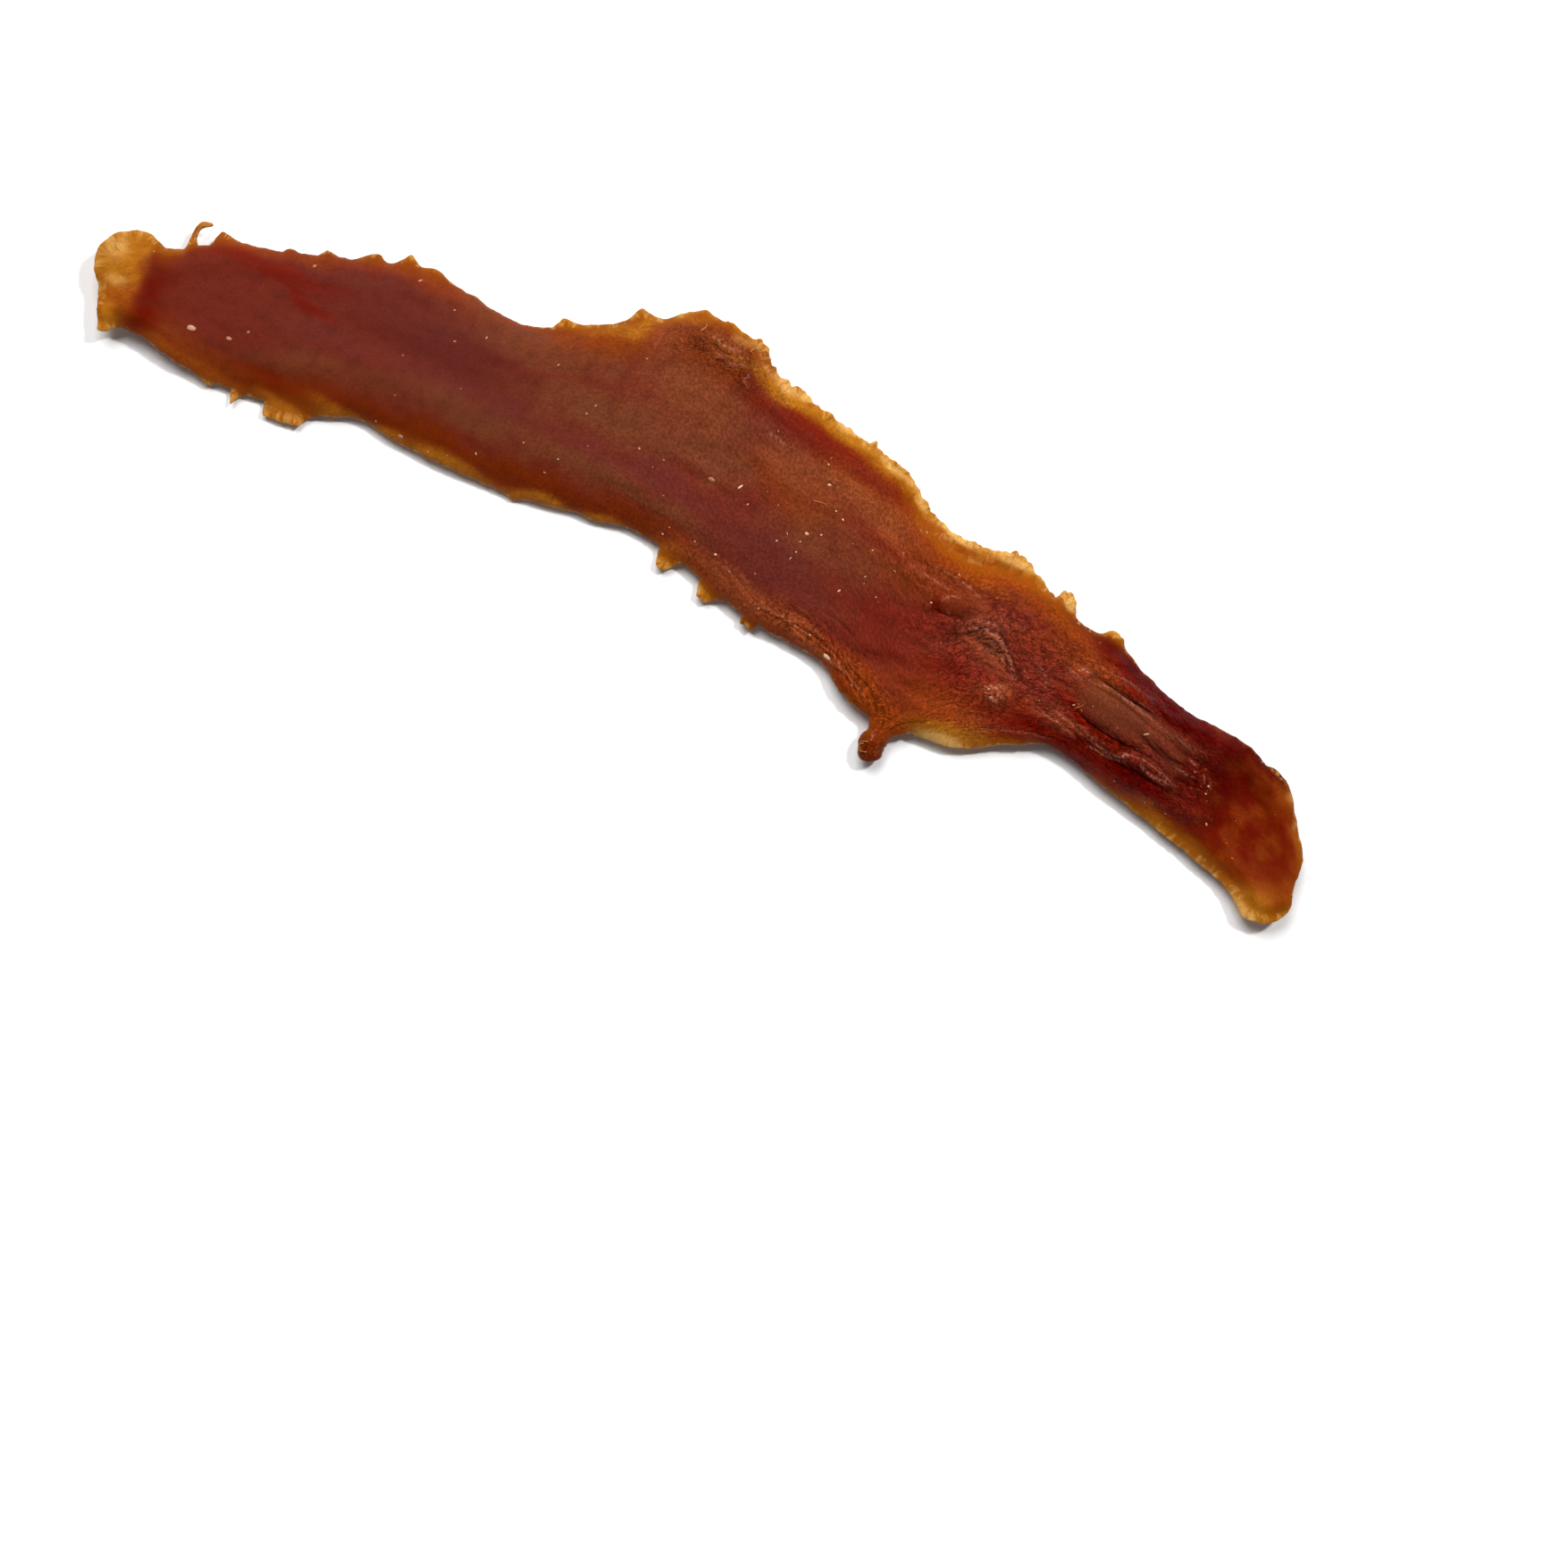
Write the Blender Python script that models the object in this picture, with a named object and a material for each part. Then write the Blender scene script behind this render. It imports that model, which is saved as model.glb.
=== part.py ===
"""A strip of dried duck breast meat: a flat, crooked slice with a frilled, see-through edge, broad face up.

It is one piece, so it is one closed solid. A smooth spline gives the outline of the meat. Teeth of dried
membrane, a knob and a curled thread are added to that outline. The sheet inside it then gets its thickness:
a thick core with round shoulders, a thin flange along the edge, and on top the lumps, creases and folds
that the meat took as it dried. The underside rests on the flat patches where the slice lay on its tray.

Sizes are in millimetres until the mesh is made, which is in metres. +X runs along the strip and +Z is up.
The origin is under the middle of the bounding box, at the height of the surface that the strip lies on.
"""

import math

import bmesh
import bpy
import numpy as np
from mathutils import Vector, geometry, kdtree, noise

MM = 0.001
NAME = "jerky_strip"

# Outline of the meat as (x, y, width of the thin flange there), clockwise from the upper left.
UPPER_EDGE = [
    (-55.8, 3.9, 0.6), (-52.8, 5.85, 0.3), (-50.8, 7.1, 0.4), (-47.4, 8.1, 0.3), (-43.8, 9.5, 0.3),
    (-37.6, 11.95, 0.6), (-34.8, 12.9, 0.7), (-28.6, 12.5, 0.3), (-24.5, 12.5, 0.4), (-22.4, 13.3, 0.7),
    (-18.9, 15.35, 1.1), (-17.2, 16.3, 1.1), (-15.4, 18.1, 1.1), (-13.2, 18.9, 1.1), (-11.9, 20.2, 1.0),
    (-10.4, 20.9, 1.0), (-4.6, 20.6, 1.5), (-3.0, 19.5, 1.6), (-0.5, 18.75, 1.6), (4.2, 17.8, 1.6),
    (9.0, 17.1, 1.5), (12.2, 16.55, 1.5), (15.0, 14.8, 1.7), (17.9, 13.7, 2.4), (21.8, 13.8, 2.9),
    (25.0, 14.2, 2.3), (29.6, 12.5, 1.0), (32.9, 11.55, 0.8), (36.2, 11.6, 0.8), (39.0, 10.4, 0.4),
    (44.0, 9.0, 0.3), (50.8, 8.75, 0.4), (52.9, 7.95, 0.8), (55.3, 7.35, 1.0),
]
RIGHT_END = [
    (57.9, 4.2, 0.5), (59.6, 1.8, 0.5), (60.0, -0.6, 0.3), (60.6, -2.6, 1.0), (59.8, -4.4, 1.8),
    (57.3, -5.15, 2.2),
]
LOWER_EDGE = [
    (55.4, -3.8, 1.8), (53.0, -3.0, 1.6), (48.0, -1.9, 1.5), (40.5, -0.4, 0.4), (35.0, 0.5, 0.3),
    (32.0, -0.7, 0.4), (27.5, -3.4, 1.2), (23.2, -4.15, 0.8), (18.6, -4.5, 0.3), (15.7, -3.6, 0.3),
    (13.0, -2.1, 0.3), (7.0, -1.85, 0.3), (3.0, -1.15, 0.3), (-1.5, -0.05, 0.3), (-4.7, 0.5, 0.3),
    (-7.5, 0.65, 0.3), (-12.0, -0.2, 0.3), (-19.0, -1.6, 0.4), (-30.0, -2.05, 0.3), (-34.0, -1.8, 0.3),
    (-37.4, -3.3, 0.6), (-43.0, -4.35, 0.7), (-50.0, -4.9, 0.4), (-53.5, -4.3, 0.4), (-56.3, -4.25, 0.8),
]
LEFT_END = [(-58.2, -4.7, 1.3), (-59.4, -2.4, 1.6), (-61.0, 0.0, 2.7), (-60.7, 2.4, 3.6), (-58.0, 4.3, 1.9)]

# Teeth of membrane on the upper edge and the lower edge:
# (x of the tip's middle, reach beyond the meat, width of the tip, flank to the left, flank to the right).
UPPER_TEETH = [
    (-52.2, 1.25, 0.3, 0.15, 2.0), (-46.2, 0.5, 0.2, 0.25, 1.0), (-43.1, 0.6, 0.3, 0.4, 1.4),
    (-39.2, 0.75, 0.6, 1.2, 1.2), (-36.3, 1.0, 0.2, 1.0, 1.3), (-33.4, 0.35, 1.2, 1.5, 1.5),
    (-29.3, 0.2, 0.8, 1.2, 0.5), (-21.5, 0.85, 0.3, 0.35, 2.0), (-15.7, 0.75, 0.2, 0.4, 1.5),
    (-10.3, 0.25, 0.5, 0.9, 0.7), (-7.6, 0.2, 0.2, 0.7, 0.6), (-4.4, 0.4, 1.0, 0.8, 0.25),
    (0.4, 0.3, 0.9, 0.5, 1.0), (3.6, 0.2, 0.4, 0.5, 0.9), (8.5, 0.75, 0.1, 0.35, 0.4),
    (23.5, 0.3, 0.3, 0.4, 0.3), (24.2, 0.5, 0.5, 0.4, 0.4), (25.0, 0.4, 0.5, 0.3, 0.3),
    (25.8, 0.35, 0.5, 0.3, 0.5), (27.2, 0.2, 0.3, 0.4, 0.7), (29.85, 1.2, 0.45, 0.35, 0.3),
    (30.4, 1.45, 0.5, 0.3, 0.3), (30.95, 1.2, 0.45, 0.3, 0.6), (35.4, 0.75, 0.9, 0.7, 0.3),
    (36.1, 0.55, 0.5, 0.3, 0.5), (53.9, 0.15, 0.5, 0.7, 0.5),
]
LOWER_TEETH = [
    (5.65, 0.8, 1.2, 0.2, 0.3), (0.9, 1.5, 1.0, 0.35, 1.6), (-3.6, 1.65, 0.9, 0.5, 1.2),
    (-10.6, 0.2, 1.4, 0.9, 0.9), (-18.0, 0.3, 0.6, 1.8, 0.4), (-40.0, 1.3, 3.4, 0.35, 0.8),
    (-44.7, 1.45, 0.1, 0.55, 0.7), (-47.3, 0.45, 0.5, 1.6, 0.3), (-57.7, 0.65, 0.8, 0.3, 0.8),
]
TOOTH_HOLLOW = 1.6  # above 1, a tooth's flanks are hollow, as where membrane shrinks between two points

# Branches on the outline: points along the middle, the width at each, and the flange's width.
KNOB = (
    [(20.9, -3.2), (20.8, -4.6), (20.7, -5.6), (20.6, -6.6), (20.75, -7.2)],
    [7.4, 3.4, 2.0, 2.5, 2.2],
    0.3,
)
THREAD = (
    [(-53.7, 4.6), (-54.2, 5.7), (-54.3, 6.5), (-54.1, 7.25), (-53.4, 7.6)],
    [1.6, 0.5, 0.4, 0.45, 0.35],
    0.4,
)
ROUND_END = 75  # degrees either way that a branch's round end turns through

# Wavering of the edge: (from x, to x, size) on the upper side. Elsewhere it is PLAIN_WAVER.
RUFFLES = [(-9.0, 16.0, 0.24), (16.0, 34.0, 0.16)]
PLAIN_WAVER = 0.09
WAVER_LENGTH = 0.7

# Thickness of the meat along the strip as (x, thickness).
CORE_THICKNESS = [
    (-61, 1.6), (-55, 2.6), (-45, 3.3), (-20, 3.5), (0, 3.2), (18, 2.8), (30, 3.2), (41, 3.8),
    (48, 3.2), (52.5, 1.9), (61, 1.4),
]
# Thickness at the rim and further in, on bare meat and on membrane.
MEAT_RIM, MEAT_EDGE = 1.1, 1.4
MEMBRANE_RIM, MEMBRANE_EDGE = 0.32, 0.65
RIM_TAPER = 0.9  # how far in from the rim the edge reaches its thickness
MEMBRANE_SPAN = 1.1  # how far out from the core the meat becomes membrane

# Width of the round shoulder between the flange and the full thickness as (x, width).
UPPER_SHOULDER = [(-60, 2.4), (-28, 2.6), (0, 3.2), (20, 4.0), (34, 3.0), (60, 2.4)]
LOWER_SHOULDER = [(-60, 2.6), (-44, 4.4), (-12, 4.8), (4, 3.6), (26, 3.4), (60, 2.4)]
# Height of the flange's underside above the tray, where the drying edge lifted, as (x, height).
UPPER_LIFT = [(-60, 0.8), (-28, 0.6), (-8, 1.2), (22, 1.2), (38, 0.9), (60, 1.0)]
LOWER_LIFT = [(-60, 0.7), (-44, 0.4), (-12, 0.3), (4, 0.6), (26, 1.2), (36, 0.9), (60, 1.0)]
LIFTED_WIDTH = 2.6
LIFT_WAVE = 0.35
LIFT_WAVE_LENGTH = 6.0
LEAST_LIFT = 0.15
TIP_RISE = 0.15  # rise of the teeth for each millimetre out
BLEND_SPAN = 0.6  # how far along the edge its values are blended
SHOULDER_ROUNDNESS = 2.2
LUMP_SHARPNESS = 1.25

# The ends curl off the tray: (x where the curl starts, rise for each square millimetre beyond it).
LEFT_CURL = (-42.0, 0.0060)
RIGHT_CURL = (50.0, 0.0100)

# Raised lumps and bundles of meat: (x, y, half length, half width, turn in degrees, height).
LUMPS = [
    (-4.2, 17.5, 1.5, 1.0, -60, 0.9), (-6.6, 18.8, 1.8, 0.8, -15, 0.5), (-9.7, 19.5, 0.9, 0.7, 0, 0.4),
    (-28.0, 3.4, 14.0, 1.5, 5, 0.3), (-8.0, 3.9, 7.0, 1.2, -4, 0.3), (-30.0, 8.5, 9.0, 2.2, 6, 0.25),
    (21.0, 8.1, 1.9, 1.2, 5, 0.9), (17.0, 8.6, 2.3, 0.9, 0, 0.4), (26.0, 6.7, 2.9, 0.9, -24, 0.7),
    (28.4, 2.3, 1.3, 0.9, 30, 0.6), (39.4, 6.0, 5.2, 1.3, -3, 1.0), (38.5, 8.4, 5.5, 0.7, -9, 0.5),
    (33.0, 2.3, 4.4, 0.8, 7, 0.5), (42.0, 2.7, 4.6, 0.6, -7, 0.6), (48.4, 6.2, 1.6, 0.8, -30, 0.5),
    (47.0, 4.0, 1.5, 0.7, -10, 0.45), (49.4, 1.1, 1.4, 0.7, 20, 0.5), (12.5, -0.9, 6.5, 0.7, -12, 0.4),
]
# Creases: (start, end, bow to the left of start to end, depth, half width).
CREASES = [
    ((34.4, 5.1), (42.5, 3.6), -0.6, 0.75, 0.6), ((35.5, 7.6), (45.0, 6.8), 0.1, 0.5, 0.5),
    ((36.5, 9.5), (44.0, 8.0), 0.2, 0.4, 0.5), ((19.6, 6.7), (24.6, 7.8), -0.2, 0.7, 0.55),
    ((22.5, 5.3), (29.6, 4.3), 0.9, 0.45, 0.5), ((24.8, 7.8), (24.9, 11.0), 0.3, 0.3, 0.5),
    ((28.5, -1.6), (36.5, 1.6), 0.4, 0.4, 0.5), ((29.5, 0.2), (38.0, 1.9), 0.5, 0.3, 0.5),
    ((5.0, 0.2), (18.6, -3.2), 0.9, 0.4, 0.5), ((8.5, -1.2), (19.5, -3.9), 0.7, 0.3, 0.5),
    ((11.0, 0.2), (20.0, 0.8), -0.7, 0.35, 0.6), ((-11.0, 7.2), (3.0, 6.6), 0.5, 0.25, 0.5),
    ((30.5, 8.4), (31.6, 11.0), -0.2, 0.3, 0.5), ((33.9, 4.6), (33.6, 8.8), 0.3, 0.35, 0.5),
    ((44.5, 5.2), (50.0, 5.0), 0.3, 0.4, 0.5), ((-47.0, -2.6), (-36.0, -1.5), 0.2, 0.3, 0.8),
]
# Wrinkling of the dried top along the strip as (x, size), and its length along and across the strip.
WRINKLES = [
    (-61, 0.05), (-14, 0.07), (-6, 0.2), (2, 0.12), (14, 0.14), (22, 0.26), (48, 0.26), (55, 0.1), (61, 0.06),
]
WRINKLE_SPAN = (3.2, 1.2)
# Rolling of the top and hollows of the underside: size, then length along and across the strip.
TOP_ROLL = (0.5, 16.0, 9.0)
UNDERSIDE_HOLLOWS = (0.9, 12.5, 7.0)
UNDERSIDE_FLAT_SHARE = 0.12  # the noise level under which the underside stays flat on the tray
FLAT_PATCH = 4.0  # radius of the flat patch under the middle of the strip
MIDDLE = (-0.2, 6.4)
# Each kind of noise has its own layer, so that none repeats another.
JITTER_LAYER, LIFT_LAYER, TOP_ROLL_LAYER = 0.5, 1.3, 3.1
EDGE_LAYER, WRINKLE_LAYER, HOLLOW_LAYER = 4.0, 5.9, 7.7

# Mesh spacing: fine samples to work on, then the edges of the triangles.
SAMPLE = 0.12
RIM_STRAIGHTNESS = 0.035
LONGEST_RIM_EDGE = 0.8
SHORTEST_RIM_EDGE = 0.18
SMOOTH_TOP_SPACING = 0.9
WRINKLED_TOP_SPACING = 0.68
WRINKLED_FROM = 12.0  # the x from which the top is wrinkled
UNDERSIDE_SPACING = 1.4
LATTICE_STRETCH = 1.25  # the triangles are longer along the strip, as its fibres are
LATTICE_JITTER = 0.12
RIM_CLEARANCE = 0.55  # share of the spacing that the grid keeps from the rim
CREASE_STEPS = 60
SHARP_ANGLE = 60

# Looks: colour, roughness.
MEAT = ((0.145, 0.022, 0.012), 0.42)
MEMBRANE = ((0.50, 0.19, 0.03), 0.38)
MEMBRANE_BELOW = 1.15  # faces where the strip is thinner than this are membrane
INSIDE_STEP = 1e-5  # how far under a face, in metres, its thickness is measured from


class Loop:
    """A closed line of samples: where each is, which way is out, and the flange's width there."""

    def __init__(self, at, flange):
        self.at = np.asarray(at, float)
        self.flange = np.asarray(flange, float)
        along = np.roll(self.at, -1, axis=0) - np.roll(self.at, 1, axis=0)
        along /= np.linalg.norm(along, axis=1)[:, None]
        self.out = np.column_stack([-along[:, 1], along[:, 0]])
        self.tree = kdtree.KDTree(len(self.at))
        for i, (x, y) in enumerate(self.at):
            self.tree.insert((x, y, 0), i)
        self.tree.balance()

    def nearest(self, point):
        """Index of the sample nearest to a point."""
        return self.tree.find((*point, 0))[1]

    def depth(self, points):
        """How far inside the loop each point is. Outside it is negative."""
        near = [self.nearest(point) for point in points]
        off = points - self.at[near]
        within = np.einsum("ij,ij->i", off, self.out[near]) < 0
        return np.where(within, 1, -1) * np.linalg.norm(off, axis=1)


def spline(stations, spacing, closed=True):
    """Samples of the centripetal Catmull-Rom curve through the stations. A station may hold any numbers."""
    points = np.asarray(stations, float)
    count = len(points)
    rows = []
    for i in range(count if closed else count - 1):
        if closed:
            p = points[[(i - 1) % count, i, (i + 1) % count, (i + 2) % count]]
        else:
            p = points[[max(i - 1, 0), i, i + 1, min(i + 2, count - 1)]]
        gaps = np.sqrt(np.maximum(np.linalg.norm(np.diff(p[:, :2], axis=0), axis=1), 1e-3))
        t = np.concatenate([[0.0], gaps.cumsum()])
        steps = max(2, math.ceil(np.linalg.norm(p[2, :2] - p[1, :2]) / spacing))
        for s in np.linspace(t[1], t[2], steps, endpoint=False):
            a = [p[k] + (p[k + 1] - p[k]) * (s - t[k]) / (t[k + 1] - t[k]) for k in range(3)]
            b = [a[k] + (a[k + 1] - a[k]) * (s - t[k]) / (t[k + 2] - t[k]) for k in range(2)]
            rows.append(b[0] + (b[1] - b[0]) * (s - t[1]) / (t[2] - t[1]))
    if not closed:
        rows.append(points[-1])
    return np.array(rows)


def smooth(share):
    """A share from 0 to 1, eased at both ends."""
    share = np.clip(share, 0, 1)
    return share * share * (3 - 2 * share)


def along_x(stations, x):
    """Value of (x, value) stations at each x, eased between them."""
    at, value = np.array(stations, float).T
    place = np.clip(np.searchsorted(at, x, side="right") - 1, 0, len(at) - 2)
    share = smooth((x - at[place]) / (at[place + 1] - at[place]))
    return value[place] + (value[place + 1] - value[place]) * share


def with_branch(loop, branch):
    """The loop with a branch grown on it: its two sides and a round end replace the samples at its root."""
    points, widths, flange = branch
    middle = spline([(*p, w) for p, w in zip(points, widths)], SAMPLE, closed=False)
    along = np.gradient(middle[:, :2], axis=0)
    along /= np.linalg.norm(along, axis=1)[:, None]
    across = np.column_stack([-along[:, 1], along[:, 0]])
    half = middle[:, 2:] / 2
    left, right = middle[:, :2] + across * half, middle[:, :2] - across * half
    turn = np.radians(np.linspace(ROUND_END, -ROUND_END, max(3, int(half[-1, 0] * math.pi / SAMPLE))))
    end = middle[-1, :2] + half[-1] * (np.outer(np.cos(turn), along[-1]) + np.outer(np.sin(turn), across[-1]))
    outline = np.vstack([left, end, right[::-1]])
    beyond = np.flatnonzero(loop.depth(outline) < -SAMPLE)
    outline = outline[beyond[0] : beyond[-1] + 1]
    first, last = loop.nearest(outline[0]), loop.nearest(outline[-1])
    if first > last:
        first, last, outline = last, first, outline[::-1]
    at = np.vstack([loop.at[:first], outline, loop.at[last + 1 :]])
    flanges = np.concatenate([loop.flange[:first], np.full(len(outline), flange), loop.flange[last + 1 :]])
    return Loop(at, flanges)


def reach_at(x, teeth):
    """How far the teeth stand out at each x. Their flanks are hollow."""
    reach = np.zeros(len(x))
    for middle, whole, tip, left, right in teeth:
        beyond = np.maximum(np.abs(x - middle) - tip / 2, 0)
        flank = np.where(x < middle, left, right)
        reach = np.maximum(reach, whole * np.clip(1 - beyond / flank, 0, 1) ** TOOTH_HOLLOW)
    return reach


def with_teeth(loop):
    """The loop with its teeth, which stand across the strip, and with the wavering of a dried edge."""
    at = loop.at.copy()
    upper, lower = loop.out[:, 1] > 0.2, loop.out[:, 1] < -0.2
    at[upper, 1] += reach_at(at[upper, 0], UPPER_TEETH)
    at[lower, 1] -= reach_at(at[lower, 0], LOWER_TEETH)
    size = np.full(len(at), PLAIN_WAVER)
    for start, end, ruffle in RUFFLES:
        size[upper & (at[:, 0] > start) & (at[:, 0] < end)] = ruffle
    wave = [noise.fractal((x / WAVER_LENGTH, y / WAVER_LENGTH, EDGE_LAYER), 0.7, 2.0, 3) for x, y in at]
    return Loop(at + loop.out * (size * wave)[:, None], loop.flange)


def thinned(points):
    """The closed line with samples left out where it runs nearly straight."""
    kept = [0]
    while kept[-1] < len(points) - 1:
        start = kept[-1]
        stop = start + 1
        while stop < len(points) - 1:
            ahead = points[stop + 1] - points[start]
            length = math.hypot(*ahead)
            between = points[start + 1 : stop + 1] - points[start]
            off = np.abs(between[:, 0] * ahead[1] - between[:, 1] * ahead[0]) / max(length, 1e-6)
            straight = off.max() < RIM_STRAIGHTNESS and length < LONGEST_RIM_EDGE
            if not straight and math.dist(points[stop], points[start]) > SHORTEST_RIM_EDGE:
                break
            stop += 1
        kept.append(stop)
    if math.dist(points[kept[-1]], points[0]) < SHORTEST_RIM_EDGE:
        kept.pop()
    return points[kept]


def outlines():
    """The loop of the meat, with the knob, and the loop of the rim, with teeth and the thread too."""
    samples = spline(UPPER_EDGE + RIGHT_END + LOWER_EDGE + LEFT_END, SAMPLE)
    body = with_branch(Loop(samples[:, :2], samples[:, 2]), KNOB)
    rim = with_branch(with_teeth(body), THREAD)
    return body, rim


def blended_edge(points, body):
    """The flange's width at each point and how far the edge near it faces +Y, blended along the edge."""
    flange, upper = np.zeros(len(points)), np.zeros(len(points))
    for i, point in enumerate(points):
        far = ((body.at - point) ** 2).sum(axis=1)
        weight = 1 / (far + BLEND_SPAN**2) ** 2
        weight /= weight.sum()
        flange[i], upper[i] = weight @ body.flange, weight @ body.out[:, 1]
    return flange, smooth(upper + 0.5)


def bumps(x, y):
    """Height of all the lumps together at each point."""
    height = np.zeros(len(x))
    for at_x, at_y, half_length, half_width, turn, rise in LUMPS:
        c, s = math.cos(math.radians(turn)), math.sin(math.radians(turn))
        u = ((x - at_x) * c + (y - at_y) * s) / half_length
        v = ((y - at_y) * c - (x - at_x) * s) / half_width
        height += rise * np.exp(-((u * u + v * v) ** LUMP_SHARPNESS))
    return height


def crease_depth(x, y):
    """Depth of all the creases together at each point. A crease is deepest in the middle of its length."""
    depth = np.zeros(len(x))
    for start, end, bow, deep, half_width in CREASES:
        a, b = np.array(start), np.array(end)
        middle = (a + b) / 2 + np.array([a[1] - b[1], b[0] - a[0]]) / np.linalg.norm(b - a) * bow * 2
        for share in np.linspace(0.05, 0.95, CREASE_STEPS):
            on = a * (1 - share) ** 2 + 2 * middle * share * (1 - share) + b * share**2
            far = ((x - on[0]) ** 2 + (y - on[1]) ** 2) / half_width**2
            depth = np.maximum(depth, deep * math.sqrt(math.sin(math.pi * share)) * np.exp(-far))
    return depth


def waves(x, y, length, across, layer):
    """Smooth noise between about -1 and 1, with waves of a length along and across the strip."""
    return np.array([noise.noise((a / length, b / across, layer)) for a, b in zip(x, y)])


def heights(points, body, rim):
    """Height of the top and of the underside at each point of the sheet."""
    x, y = points.T
    flange, upper = blended_edge(points, body)
    shoulder = along_x(LOWER_SHOULDER, x) * (1 - upper) + along_x(UPPER_SHOULDER, x) * upper
    lift = along_x(LOWER_LIFT, x) * (1 - upper) + along_x(UPPER_LIFT, x) * upper

    core = body.depth(points) - flange
    risen = 1 - (1 - np.clip(core / shoulder, 0, 1)) ** SHOULDER_ROUNDNESS
    down = smooth(core / LIFTED_WIDTH)
    membrane = smooth(-core / MEMBRANE_SPAN)
    at_rim = MEAT_RIM + (MEMBRANE_RIM - MEAT_RIM) * membrane
    edge = MEAT_EDGE + (MEMBRANE_EDGE - MEAT_EDGE) * membrane
    thin = at_rim + (edge - at_rim) * np.sqrt(np.clip(rim.depth(points) / RIM_TAPER, 0, 1))

    lift = lift + LIFT_WAVE * waves(x, y, LIFT_WAVE_LENGTH, LIFT_WAVE_LENGTH, LIFT_LAYER)
    lift = np.maximum(lift + TIP_RISE * np.clip(-core, 0, 2), LEAST_LIFT) * (1 - down)
    curl = LEFT_CURL[1] * np.maximum(LEFT_CURL[0] - x, 0) ** 2
    curl = curl + RIGHT_CURL[1] * np.maximum(x - RIGHT_CURL[0], 0) ** 2
    size, length, across = UNDERSIDE_HOLLOWS
    hollows = size * np.maximum(waves(x, y, length, across, HOLLOW_LAYER) - UNDERSIDE_FLAT_SHARE, 0)
    hollows = hollows * smooth(np.hypot(x - MIDDLE[0], y - MIDDLE[1]) / FLAT_PATCH - 1)
    underside = lift + hollows * down + curl

    size, length, across = TOP_ROLL
    relief = bumps(x, y) - crease_depth(x, y) + size * waves(x, y, length, across, TOP_ROLL_LAYER)
    relief = relief + along_x(WRINKLES, x) * waves(x, y, *WRINKLE_SPAN, WRINKLE_LAYER)
    full = along_x(CORE_THICKNESS, x) - MEAT_EDGE
    top = lift + curl + thin + (full + relief) * risen
    return np.maximum(top, underside + thin), underside


def inner_points(rim, bands):
    """Points of triangular grids inside the rim, each moved a little. A band is (from x, to x, spacing)."""
    low, high = rim.at.min(axis=0), rim.at.max(axis=0)
    found = []
    for start, end, spacing in bands:
        column_gap = spacing * LATTICE_STRETCH
        row_gap = spacing * math.sqrt(3) / 2 / LATTICE_STRETCH
        xs = np.arange(max(start, low[0]), min(end, high[0]), column_gap)
        for row, y in enumerate(np.arange(low[1], high[1], row_gap)):
            for x in xs + 0.5 * (row % 2) * column_gap:
                jitter = noise.noise_vector((x, y, JITTER_LAYER)) * LATTICE_JITTER * row_gap
                found.append((x + jitter.x, y + jitter.y, RIM_CLEARANCE * spacing))
    found = np.array(found)
    return found[rim.depth(found[:, :2]) > found[:, 2], :2]


def triangulated(outline, inner):
    """Points and triangles of the sheet inside the outline. The outline's points come first."""
    points = [Vector(p) for p in np.vstack([outline, inner])]
    ring = list(range(len(outline)))[::-1]
    made, _, faces, origins, _, _ = geometry.delaunay_2d_cdt(points, [], [ring], 1, 1e-7)
    if len(made) != len(points):
        raise ValueError(f"the outline crosses itself: {len(points)} points became {len(made)}")
    order = [origin[0] for origin in origins]
    return np.array(points), [[order[i] for i in face] for face in faces]


def strip_mesh():
    """The closed mesh: a top and an underside on the same outline, and a narrow wall between them."""
    body, rim = outlines()
    outline = thinned(rim.at)
    count = len(outline)
    beyond = 2 * outline[:, 0].max()
    top_bands = [(-beyond, WRINKLED_FROM, SMOOTH_TOP_SPACING), (WRINKLED_FROM, beyond, WRINKLED_TOP_SPACING)]
    top_xy, top_faces = triangulated(outline, inner_points(rim, top_bands))
    under_xy, under_faces = triangulated(outline, inner_points(rim, [(-beyond, beyond, UNDERSIDE_SPACING)]))
    top_z = heights(top_xy, body, rim)[0]
    under_z = heights(under_xy, body, rim)[1]
    points = np.vstack([np.column_stack([top_xy, top_z]), np.column_stack([under_xy, under_z])])
    low, high = points.min(axis=0), points.max(axis=0)
    points = (points - [(low[0] + high[0]) / 2, (low[1] + high[1]) / 2, low[2]]) * MM

    bm = bmesh.new()
    verts = [bm.verts.new(p) for p in points]
    top, under = verts[: len(top_xy)], verts[len(top_xy) :]
    for face in top_faces:
        bm.faces.new([top[i] for i in face])
    for face in under_faces:
        bm.faces.new([under[i] for i in reversed(face)])
    for i in range(count):
        after = (i + 1) % count
        bm.faces.new([top[i], top[after], under[after], under[i]])
    bmesh.ops.recalc_face_normals(bm, faces=bm.faces)
    mesh = bpy.data.meshes.new(NAME)
    bm.to_mesh(mesh)
    bm.free()
    return mesh


def material(name, colour, roughness):
    made = bpy.data.materials.new(name)
    made.use_nodes = True
    shader = made.node_tree.nodes["Principled BSDF"]
    shader.inputs["Base Color"].default_value = (*colour, 1.0)
    shader.inputs["Roughness"].default_value = roughness
    shader.inputs["Metallic"].default_value = 0.0
    return made


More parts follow.
